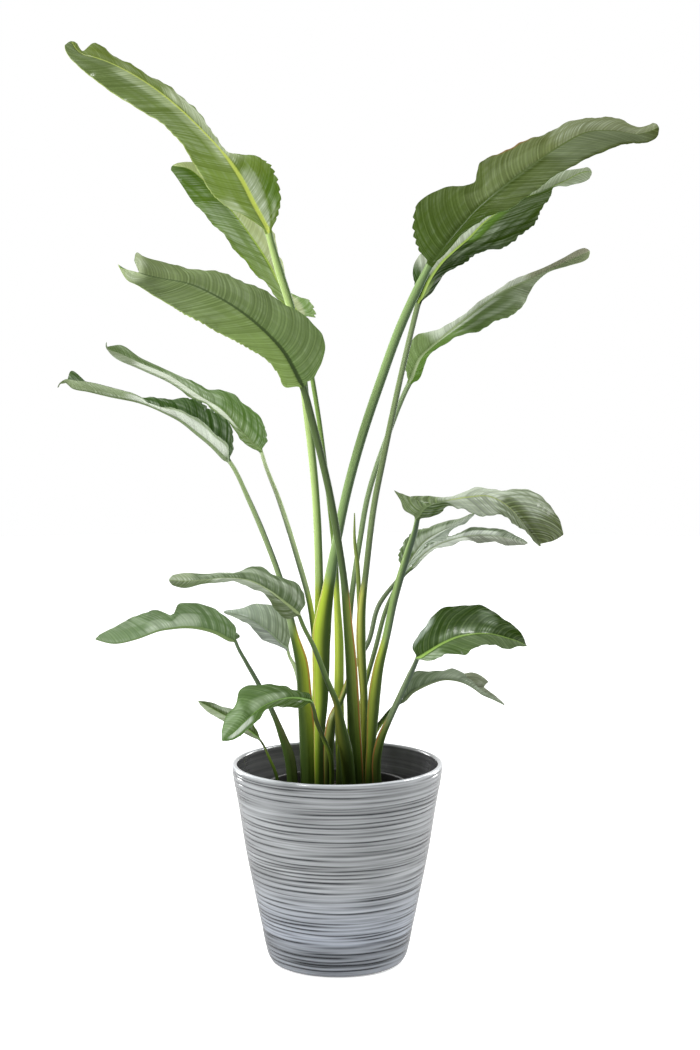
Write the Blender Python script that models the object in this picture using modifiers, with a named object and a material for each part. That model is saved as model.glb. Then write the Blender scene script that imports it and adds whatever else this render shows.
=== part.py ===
"""A potted giant white bird of paradise: a glazed pot, the nursery pot in it, the soil, and
the leaves, a rolled spear and a young shoot, which stand in plain holes in the soil.

Metres, +Z up, front towards -Y. The origin is the middle of the pot's flat underside.
A leaf is one solid from its foot in the soil to its tip: a sheath, a stalk and a thin blade
with a rib under it. Its places are given as sightings, see sight() below."""

import math

import bmesh
import bpy
import numpy as np
from mathutils import Vector

MM = 0.001

# The pots and the soil
RIM_RADIUS = 150 * MM
RIM_HEIGHT = 285 * MM
POT_WALL = 7.5 * MM
POT_FLOOR = 9 * MM
# Height and radius down the glazed pot's outer side, from under the rim to the rounded foot
POT_SIDE = ((273, 149), (229, 141.5), (156, 130), (98, 118.5), (54, 109.5), (20, 102.5), (8, 99), (2, 95.5))
POT_FOOT_RADIUS = 92 * MM
RIM_ROUNDING = 2.5 * MM
FLOOR_ROUNDING = 8 * MM
LINER_RIM_RADIUS = 104 * MM
LINER_RIM_HEIGHT = 252 * MM
LINER_RIM_WIDTH = 4 * MM
LINER_LIP_DROP = 9 * MM
LINER_FOOT_RADIUS = 84 * MM
LINER_WALL = 2 * MM
LINER_ROUNDING = 1 * MM
SOIL_TOP = 234 * MM
SOIL_EDGE_DROP = 3 * MM
SOIL_EDGE_WIDTH = 3 * MM
SEAT_GAP = 0.3 * MM
HOLE_DEPTH = 30 * MM
HOLE_GAP = 0.4 * MM
CUTTER_RISE = 40 * MM
STALK_BASE_RISE = 2 * MM
POT_STEPS = 40

# Where a sighting is made from: the eye's place, how far it looks down, and the picture's scale
EYE = Vector((18 * MM, -2800 * MM, 897 * MM))
EYE_TILT = 0.0975
PICTURE_SCALE = 2000
PICTURE_MIDDLE = (350, 525)
# How far down the picture the stalks' feet in the soil are
SOIL_DOWN = 795

# Leaves
BLADE_THICKNESS = 1.0 * MM
STALK_FLATNESS = 0.8
RIB_TIP_RADIUS = 0.6 * MM
RIB_TAPER = 1.2
RIB_DEPTH = 1.1
# How deep the keel is beside the rib, and how near the rib's side the blade may start, as shares
RIB_SHOULDER = 0.35
RIB_SHARE_LIMIT = 0.6
# The narrowest half blade, and the width at which a half faces fully its own way, in rib radii
NARROWEST_HALF = 1.25
TRUSTED_WIDTH = 3
LEAST_OPEN = 0.25
FOLD_SPREAD = 1.3
CROWN = 0.07
# The blade's waves: their length, how far the two halves are out of step, and where they fade
WAVE_LENGTH = 55 * MM
WAVE_OFFSET = 2.1
WAVE_FULL_WIDTH = 30 * MM
WAVE_AT_MIDDLE = 0.35
STALK_STEP = 58 * MM
RINGS_PER_SECTION = 1.6
RING_ANGLES = (175, 150, 120, 90, 60, 30, 5, -5, -30, -60, -90, -120, -150, -175)
LEAF_GREEN = (0.13, 0.24, 0.07)
LEAF_ROUGHNESS = 0.4


def sight(across, down, back):
    """The place seen at a picture pixel (across, down) that lies `back` millimetres behind the pot's axis."""
    forward = Vector((0, math.cos(EYE_TILT), -math.sin(EYE_TILT)))
    up = Vector((0, math.sin(EYE_TILT), math.cos(EYE_TILT)))
    right = Vector((1, 0, 0))
    ray = forward
    ray = ray + right * ((across - PICTURE_MIDDLE[0]) / PICTURE_SCALE)
    ray = ray + up * ((PICTURE_MIDDLE[1] - down) / PICTURE_SCALE)
    return EYE + ray * ((back * MM - EYE.y) / ray.y)


def clear_scene():
    for thing in list(bpy.data.objects):
        bpy.data.objects.remove(thing)


def new_collection(name):
    made = bpy.data.collections.new(name)
    bpy.context.scene.collection.children.link(made)
    return made


def finish(name, colour, roughness):
    """A Principled material: colour is linear red, green and blue."""
    made = bpy.data.materials.new(name)
    made.use_nodes = True
    shader = made.node_tree.nodes["Principled BSDF"]
    shader.inputs["Base Color"].default_value = (*colour, 1)
    shader.inputs["Roughness"].default_value = roughness
    shader.inputs["Metallic"].default_value = 0
    return made


def add_object(name, mesh, collection, material):
    made = bpy.data.objects.new(name, mesh)
    collection.objects.link(made)
    mesh.materials.append(material)
    return made


def turned(name, profile, collection, material):
    """A round piece turned from (radius, height) points, from the axis inside, over the top, and down outside."""
    mesh = bpy.data.meshes.new(name)
    points = [(radius, 0, height) for radius, height in profile]
    mesh.from_pydata(points, [(i, i + 1) for i in range(len(points) - 1)], [])
    made = add_object(name, mesh, collection, material)
    screw = made.modifiers.new("turn", "SCREW")
    screw.axis = "Z"
    screw.steps = POT_STEPS
    screw.render_steps = POT_STEPS
    screw.use_merge_vertices = True
    screw.merge_threshold = 0.00001
    return made


def make_glazed_pot(collection):
    side = [(radius * MM, height * MM) for height, radius in POT_SIDE]
    shoulder = RIM_HEIGHT - RIM_ROUNDING
    outside = [(RIM_RADIUS - RIM_ROUNDING, RIM_HEIGHT), (RIM_RADIUS, shoulder), *side]
    outside += [(POT_FOOT_RADIUS, 0), (0, 0)]
    inside = [(RIM_RADIUS - POT_WALL + RIM_ROUNDING, RIM_HEIGHT), (RIM_RADIUS - POT_WALL, shoulder)]
    inside += [(radius - POT_WALL, height) for radius, height in side if height > 2 * POT_FLOOR]
    floor = [(inside[-1][0] - FLOOR_ROUNDING, POT_FLOOR), (0, POT_FLOOR)]
    profile = [*reversed(inside + floor), *outside]
    return turned("glazed_pot", profile, collection, finish("pot_glaze", (0.46, 0.48, 0.5), 0.25))


def liner_radius(height):
    """The nursery pot's outer radius at a height: it tapers evenly."""
    share = (height - POT_FLOOR) / (LINER_RIM_HEIGHT - POT_FLOOR)
    return LINER_FOOT_RADIUS + share * (LINER_RIM_RADIUS - LINER_RIM_WIDTH / 2 - LINER_FOOT_RADIUS)


def make_nursery_pot(collection):
    bottom = POT_FLOOR + SEAT_GAP
    floor = bottom + LINER_WALL
    lip = LINER_RIM_HEIGHT - LINER_LIP_DROP
    profile = [
        (0, floor),
        (liner_radius(floor) - LINER_WALL, floor),
        (liner_radius(lip) - LINER_WALL, lip),
        (LINER_RIM_RADIUS - LINER_RIM_WIDTH, LINER_RIM_HEIGHT - LINER_ROUNDING),
        (LINER_RIM_RADIUS - LINER_RIM_WIDTH + LINER_ROUNDING, LINER_RIM_HEIGHT),
        (LINER_RIM_RADIUS - LINER_ROUNDING, LINER_RIM_HEIGHT),
        (LINER_RIM_RADIUS, LINER_RIM_HEIGHT - LINER_ROUNDING),
        (LINER_RIM_RADIUS, lip),
        (liner_radius(lip), lip - LINER_ROUNDING),
        (liner_radius(bottom + 3 * LINER_ROUNDING), bottom + 3 * LINER_ROUNDING),
        (liner_radius(bottom) - 2 * LINER_ROUNDING, bottom),
        (0, bottom),
    ]
    return turned("nursery_pot", profile, collection, finish("black_plastic", (0.012, 0.012, 0.013), 0.45))


def make_soil(collection):
    bottom = POT_FLOOR + 2 * SEAT_GAP + LINER_WALL
    edge = SOIL_TOP - SOIL_EDGE_DROP
    reach = LINER_WALL + SEAT_GAP
    profile = [
        (0, SOIL_TOP),
        (liner_radius(SOIL_TOP) - reach - SOIL_EDGE_WIDTH, SOIL_TOP),
        (liner_radius(edge) - reach, edge),
        (liner_radius(bottom) - reach, bottom),
        (0, bottom),
    ]
    return turned("soil", profile, collection, finish("potting_soil", (0.02, 0.013, 0.009), 0.95))


def smooth(rows, count, chords):
    """`count` rows evenly along a smooth curve through `rows`, which lie `chords` apart."""
    rows = np.array(rows, float)
    at = np.concatenate([[0], np.cumsum(chords)])
    slopes = np.gradient(rows, at, axis=0)
    wanted = np.linspace(0, at[-1], count)
    span = np.clip(np.searchsorted(at, wanted, side="right") - 1, 0, len(at) - 2)
    width = (at[span + 1] - at[span])[:, None]
    t = (wanted - at[span])[:, None] / width
    start = (1 + 2 * t) * (1 - t) ** 2 * rows[span] + t * (1 - t) ** 2 * width * slopes[span]
    end = t * t * (3 - 2 * t) * rows[span + 1] + t * t * (t - 1) * width * slopes[span + 1]
    return start + end


def unit(vectors):
    return vectors / np.maximum(np.linalg.norm(vectors, axis=-1, keepdims=True), 1e-9)


def stalk_rings(stalk, first_across):
    """Oval rings up a stalk of (x, y, z, width) rows, turning to first_across, the blade's, at the top."""
    chords = np.linalg.norm(np.diff(stalk[:, :3], axis=0), axis=1)
    count = max(4, round(chords.sum() / STALK_STEP))
    rows = smooth(stalk, count, chords)
    tangents = unit(np.gradient(rows[:, :3], axis=0))
    tangents[0] = (0, 0, 1)
    side = np.array([1.0, 0, 0]) * (1 if first_across[0] >= 0 else -1)
    angles = np.radians(RING_ANGLES)
    rings = []
    for i, (row, tangent) in enumerate(zip(rows, tangents)):
        turn = (i / count) ** 4
        across = side * (1 - turn) + first_across * turn
        across = unit(across - tangent * (across @ tangent))
        up = np.cross(across, tangent)
        half = row[3] / 2
        ring = row[:3] + half * np.outer(np.cos(angles), across)
        rings.append(ring + half * STALK_FLATNESS * np.outer(np.sin(angles), up))
    return rings


def blade_rings(blade, stalk_radius, wave):
    """Thin winged rings along a blade, given as rows of rib, left margin and right margin."""
    chords = np.linalg.norm(np.diff(blade, axis=0), axis=2).mean(axis=1)
    count = round(RINGS_PER_SECTION * len(blade))
    blade = smooth(blade.reshape(-1, 9), count, chords).reshape(count, 3, 3)
    rib, left, right = blade[:, 0], blade[:, 1], blade[:, 2]
    forward = unit(np.gradient(rib, axis=0))
    whole = unit(np.cross(right - left, forward))
    half_forward = [unit(np.gradient(rib + margin, axis=0)) for margin in (left, right)]
    along = np.concatenate([[0], np.cumsum(np.linalg.norm(np.diff(rib, axis=0), axis=1))])
    rings = []
    for i in range(count):
        share = along[i] / along[-1]
        radius = RIB_TIP_RADIUS + (stalk_radius - RIB_TIP_RADIUS) * (1 - share) ** RIB_TAPER
        reaches = [left[i] - rib[i], right[i] - rib[i]]
        widths = [np.linalg.norm(reach) for reach in reaches]
        normals = []
        for k, sense in enumerate((-1, 1)):
            normal = unit(np.cross(reaches[k] * sense, half_forward[k][i]))
            trust = min(1, widths[k] / (TRUSTED_WIDTH * radius))
            normals.append(unit(normal * trust + whole[i] * (1 - trust)))
        # How far the blade is open: 1 when flat, towards 0 when folded shut along its rib
        opened = max(np.linalg.norm(normals[0] + normals[1]) / 2, LEAST_OPEN)
        upright = unit(normals[0] + normals[1] + 0.2 * whole[i])
        half = BLADE_THICKNESS / 2
        fold = FOLD_SPREAD * half * math.sqrt(1 - min(opened, 1) ** 2) / opened
        halves = []
        for k in range(2):
            outward = unit(reaches[k])
            width = max(widths[k], NARROWEST_HALF * radius)
            swell = math.sin(2 * math.pi * along[i] / WAVE_LENGTH + WAVE_OFFSET * k)
            swell *= math.sqrt(math.sin(math.pi * share))
            lift = wave * MM * swell * min(1, width / WAVE_FULL_WIDTH)
            near = min(max(radius, fold + radius / 2) / width, RIB_SHARE_LIMIT)
            middle = (1 + near) / 2
            places = [
                rib[i] + outward * width + normals[k] * lift,
                rib[i] + outward * width * middle + normals[k] * (width * CROWN + lift * WAVE_AT_MIDDLE),
                rib[i] + outward * width * near + normals[k] * (width * CROWN * near),
            ]
            halves.append(places)
        keel = RIB_DEPTH * radius
        lowered = half + keel * RIB_SHOULDER
        top = [place + normals[0] * half for place in halves[0]]
        top += [rib[i] + upright * (half / opened)]
        top += [place + normals[1] * half for place in reversed(halves[1])]
        bottom = [place - normals[1] * half for place in halves[1][:2]]
        bottom += [halves[1][2] - normals[1] * lowered]
        bottom += [rib[i] - upright * (half + keel)]
        bottom += [halves[0][2] - normals[0] * lowered]
        bottom += [place - normals[0] * half for place in reversed(halves[0][:2])]
        rings.append(np.array(top + bottom))
    return rings


def loft(name, rings):
    """One closed mesh through rings of equal count. Each quad is split alike on the upper and the lower face."""
    count = len(rings[0])
    mesh = bmesh.new()
    rows = [[mesh.verts.new(point) for point in ring] for ring in rings]
    for row, after in zip(rows, rows[1:]):
        for j in range(count):
            k = (j + 1) % count
            # The lower face runs the other way round the ring, so its split turns too
            if j < count // 2:
                mesh.faces.new((row[j], row[k], after[k]))
                mesh.faces.new((row[j], after[k], after[j]))
            else:
                mesh.faces.new((row[j], row[k], after[j]))
                mesh.faces.new((row[k], after[k], after[j]))
    for row, turn in ((rows[0], 1), (rows[-1], -1)):
        for j in range(count // 2 - 1):
            corners = (row[j], row[count - 1 - j], row[count - 2 - j], row[j + 1])
            mesh.faces.new(corners[::turn])
    made = bpy.data.meshes.new(name)
    mesh.to_mesh(made)
    mesh.free()
    return made


def make_hole_cutter(name, ring, collection):
    """A plain upright plug a little wider than a stalk's foot, which bores its hole in the soil."""
    middle = ring.mean(axis=0)
    reach = np.linalg.norm(ring - middle, axis=1, keepdims=True)
    wider = middle + (ring - middle) * (1 + HOLE_GAP / reach)
    bottom = wider.copy()
    bottom[:, 2] = SOIL_TOP - HOLE_DEPTH - HOLE_GAP
    top = wider.copy()
    top[:, 2] = SOIL_TOP + CUTTER_RISE
    made = bpy.data.objects.new(name, loft(name, [bottom, top]))
    collection.objects.link(made)
    made.hide_render = True
    made.display_type = "WIRE"
    return made


def make_leaf(name, foot, stalk, blade, parts, cutters, lean=0, wave=3):
    """A leaf as one solid. foot is x, y and width in mm at the soil, stalk is sightings with a width in
    mm, and blade is rows of rib, left margin and right margin, left as seen from the stalk. lean is how
    far back, in mm, the leaf swings by its tip: half of it along the stalk and half along the blade."""
    ground = SOIL_TOP + STALK_BASE_RISE
    x, y, width = (value * MM for value in foot)
    rows = [(x, y, ground, width)]
    for across, down, back, wide in stalk:
        swing = lean / 2 * ((SOIL_DOWN - down) / (SOIL_DOWN - stalk[-1][1])) ** 2
        rows.append((*sight(across, down, back + swing), wide * MM))
    stalk_rows = np.array(rows)
    if blade:
        swings = [lean / 2 * (1 + i / (len(blade) - 1)) for i in range(len(blade))]
        sections = [
            [tuple(sight(across, down, back + swing)) for across, down, back in row]
            for row, swing in zip(blade, swings)
        ]
        sections = np.array(sections)
        first_across = unit(sections[0, 2] - sections[0, 1])
    else:
        first_across = np.array([1.0, 0, 0])
    rings = stalk_rings(stalk_rows, first_across)
    foot_ring = rings[0].copy()
    foot_ring[:, 2] = SOIL_TOP - HOLE_DEPTH
    rings.insert(0, foot_ring)
    if blade:
        rings += blade_rings(sections, stalk_rows[-1, 3] / 2, wave)
    make_hole_cutter(f"hole_{name}", foot_ring, cutters)
    green = finish(f"{name}_green", LEAF_GREEN, LEAF_ROUGHNESS)
    return add_object(name, loft(name, rings), parts, green)


def make_left_leaves(**shared):
    make_leaf(
        "leaf_top_left",
        foot=(-30, 42, 15),
        lean=90,
        stalk=(
            (317, 700, 40, 14), (319, 575, 38, 12), (316, 500, 34, 11), (308, 420, 30, 11),
            (290, 305, 25, 12), (279, 270, 24, 12), (270, 238, 22, 10),
        ),
        blade=(
            ((269, 234, 22), (267, 235, 22), (272, 233, 22)),
            ((264, 223, 20), (246, 217, 12), (279, 214, 22)),
            ((254, 204, 17), (228, 208, 5), (281, 194, 25)),
            ((243, 182, 14), (212, 194, 0), (272, 166, 30)),
            ((233, 166, 12), (202, 178, -5), (252, 155, 34)),
            ((222, 151, 10), (193, 162, -7), (227, 152, 26)),
            ((208, 136, 8), (180, 142, -9), (213, 132, 40)),
            ((178, 107, 2), (158, 121, -14), (184, 98, 42)),
            ((150, 85, -2), (128, 103, -14), (152, 77, 40)),
            ((115, 65, -4), (96, 81, -12), (118, 58, 34)),
            ((93, 57, -4), (76, 64, -8), (92, 44, 12)),
            ((84, 55, -3), (69, 57, -6), (83, 51, 2)),
            ((77, 50, -2), (65, 49, -4), (79, 47, 0)),
            ((71, 41, -2), (65, 41, -3), (76, 40, -1)),
        ),
        **shared,
    )
    make_leaf(
        "leaf_second_left",
        foot=(6, 22, 14),
        lean=170,
        stalk=(
            (339, 700, 26, 14), (339, 640, 28, 13), (337, 600, 30, 9), (334, 545, 34, 8),
            (329, 500, 38, 7), (319, 420, 50, 7), (307, 347, 56, 7), (304, 328, 56, 6),
        ),
        blade=(
            ((302, 319, 56), (299, 321, 56), (305, 317, 56)),
            ((298, 313, 56), (290, 310, 51), (316, 317, 60)),
            ((291, 303, 57), (276, 296, 48), (312, 304, 66)),
            ((281, 287, 58), (263, 281, 46), (290, 291, 72)),
            ((268, 262, 58), (245, 262, 44), (281, 258, 80)),
            ((250, 235, 56), (226, 238, 42), (270, 228, 84)),
            ((225, 203, 54), (204, 214, 42), (246, 192, 84)),
            ((203, 180, 52), (188, 195, 44), (212, 168, 66)),
            ((186, 168, 50), (175, 175, 46), (188, 162, 56)),
            ((172, 166, 48), (169, 168, 48), (172, 164, 49)),
        ),
        **shared,
    )
    make_leaf(
        "leaf_front_left",
        foot=(30, 9, 16),
        lean=-170,
        stalk=(
            (353, 700, 2, 18), (351, 660, -6, 16), (348, 625, -18, 13), (344, 580, -30, 10),
            (338, 540, -40, 10), (331, 500, -46, 10), (312, 420, -54, 10), (304, 390, -56, 9),
        ),
        blade=(
            ((303, 387, -56), (300, 389, -56), (306, 385, -56)),
            ((299, 379, -58), (285, 387, -62), (314, 378, -50)),
            ((293, 367, -60), (279, 376, -66), (323, 358, -44)),
            ((284, 352, -62), (266, 360, -70), (323, 336, -40)),
            ((272, 338, -64), (250, 350, -74), (308, 319, -36)),
            ((250, 318, -68), (228, 338, -80), (284, 303, -34)),
            ((220, 298, -72), (198, 322, -86), (248, 283, -36)),
            ((190, 284, -76), (172, 307, -88), (212, 271, -42)),
            ((165, 279, -80), (148, 292, -88), (176, 266, -52)),
            ((148, 275, -82), (132, 281, -86), (152, 259, -68)),
            ((134, 266, -83), (121, 268, -84), (136, 254, -76)),
        ),
        **shared,
    )
    make_leaf(
        "leaf_middle_left",
        foot=(-20, 16, 11),
        lean=60,
        stalk=(
            (316, 650, 24, 9), (309, 600, 28, 8), (298, 560, 34, 8), (279, 500, 40, 8), (263, 457, 44, 7),
        ),
        blade=(
            ((262, 453, 46), (262, 454, 42), (262, 452, 50)),
            ((255, 446, 47), (251, 448, 36), (268, 440, 66)),
            ((240, 430, 46), (237, 434, 24), (257, 415, 92)),
            ((222, 410, 45), (220, 415, 20), (236, 397, 92)),
            ((200, 396, 42), (197, 401, 17), (204, 386, 88)),
            ((170, 376, 36), (166, 381, 13), (172, 373, 78)),
            ((140, 363, 30), (137, 368, 12), (141, 358, 58)),
            ((118, 353, 26), (113, 356, 14), (118, 345, 40)),
            ((106, 344, 24), (105, 346, 22), (108, 341, 26)),
        ),
        **shared,
    )
    make_leaf(
        "leaf_folded_left",
        foot=(-40, -12, 24),
        lean=-30,
        stalk=(
            (308, 740, -11, 25), (305, 700, -11, 21), (301, 660, -9, 18), (295, 638, -8, 12),
            (279, 575, -5, 8), (266, 540, -5, 8), (249, 500, -6, 8), (232, 465, -8, 7.5),
        ),
        blade=(
            ((230, 462, -8), (230, 461, -11), (231, 461, -5)),
            ((224, 457, -9), (228, 446, -22), (234, 448, 4)),
            ((212, 445, -10), (215, 433, -26), (231, 426, 10)),
            ((196, 432, -11), (199, 420, -28), (214, 410, 12)),
            ((182, 421, -12), (183, 410, -30), (196, 400, 10)),
            ((165, 412, -13), (165, 408, -30), (172, 398, 8)),
            ((140, 402, -15), (136, 395, -32), (142, 398, 4)),
            ((110, 396, -17), (110, 387, -34), (112, 391, -2)),
            ((88, 391, -19), (88, 382, -34), (89, 384, -6)),
            ((73, 388, -21), (73, 380, -32), (71, 371, -8)),
            ((58, 385, -22), (60, 382, -25), (62, 380, -19)),
        ),
        **shared,
    )
    make_leaf(
        "leaf_rolled_left",
        foot=(17, -16, 20),
        lean=-120,
        stalk=(
            (345, 750, -21, 21), (340, 722, -28, 14), (337, 705, -34, 9), (327, 680, -46, 8),
            (313, 645, -58, 7.5), (301, 620, -66, 7),
        ),
        blade=(
            ((300, 617, -66), (300, 618, -69), (300, 616, -63)),
            ((294, 610, -68), (286, 619, -80), (306, 602, -52)),
            ((284, 602, -70), (276, 609, -88), (300, 588, -44)),
            ((268, 590, -73), (263, 594, -92), (280, 576, -40)),
            ((250, 581, -76), (247, 585, -96), (258, 568, -38)),
            ((225, 578, -80), (223, 582, -96), (232, 572, -45)),
            ((203, 580, -84), (202, 584, -96), (205, 574, -66)),
            ((185, 581, -86), (184, 588, -92), (185, 573, -76)),
            ((169, 580, -88), (168, 584, -89), (168, 576, -86)),
        ),
        **shared,
    )
    make_leaf(
        "leaf_low_left",
        foot=(-63, -20, 16),
        lean=-20,
        stalk=(
            (289, 755, -22, 15), (282, 735, -24, 11), (277, 722, -26, 8), (258, 683, -30, 6.5),
            (245, 660, -32, 6.5), (237, 645, -33, 6),
        ),
        blade=(
            ((236, 642, -33), (236, 641, -36), (237, 642, -30)),
            ((229, 639, -34), (236, 630, -46), (240, 636, -14)),
            ((215, 632, -35), (222, 613, -50), (224, 622, 2)),
            ((200, 628, -36), (204, 606, -52), (206, 615, 8)),
            ((182, 627, -38), (178, 604, -50), (182, 613, 8)),
            ((172, 628, -38), (172, 616, -48), (171, 616, 4)),
            ((160, 630, -39), (157, 610, -50), (158, 619, 3)),
            ((135, 639, -41), (137, 616, -50), (136, 626, -10)),
            ((112, 643, -43), (112, 628, -48), (112, 634, -28)),
            ((95, 639, -44), (95, 637, -45), (96, 640, -42)),
        ),
        **shared,
    )
    make_leaf(
        "leaf_small_left",
        foot=(-49, 24, 8),
        lean=120,
        stalk=((302, 720, 25, 7), (294, 665, 26, 6), (289, 655, 26, 5)),
        blade=(
            ((288, 651, 26), (287, 652, 24), (289, 650, 28)),
            ((281, 644, 25), (273, 644, 16), (290, 632, 36)),
            ((269, 632, 23), (260, 637, 9), (282, 612, 43)),
            ((252, 620, 20), (245, 622, 6), (262, 603, 38)),
            ((236, 614, 18), (234, 617, 10), (240, 609, 26)),
            ((223, 612, 17), (223, 613, 17), (224, 610, 18)),
        ),
        **shared,
    )
    make_leaf(
        "leaf_front_low",
        foot=(-8, -42, 7),
        lean=-110,
        stalk=((330, 755, -50, 6.5), (322, 735, -58, 6), (316, 720, -64, 6), (313, 706, -68, 5.5)),
        blade=(
            ((312, 703, -68), (311, 704, -71), (313, 702, -65)),
            ((304, 698, -71), (299, 703, -82), (308, 694, -56)),
            ((288, 697, -75), (284, 703, -95), (290, 691, -48)),
            ((266, 705, -80), (265, 712, -102), (264, 683, -48)),
            ((251, 716, -84), (252, 725, -104), (239, 692, -55)),
            ((244, 722, -87), (246, 732, -104), (236, 703, -64)),
            ((234, 732, -90), (236, 738, -101), (226, 716, -74)),
            ((222, 741, -94), (224, 742, -95), (220, 739, -92)),
        ),
        **shared,
    )
    make_leaf(
        "leaf_lowest_left",
        foot=(-84, -5, 5),
        lean=30,
        stalk=((277, 778, -8, 5), (268, 755, -17, 4.5), (264, 746, -22, 4)),
        blade=(
            ((261, 741, -24), (261, 742, -29), (261, 740, -19)),
            ((252, 733, -28), (249, 736, -35), (257, 730, -19)),
            ((236, 722, -32), (228, 724, -44), (246, 714, -8)),
            ((216, 711, -36), (212, 715, -44), (224, 706, -18)),
            ((198, 701, -40), (197, 702, -40), (199, 700, -39)),
        ),
        **shared,
    )


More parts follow.
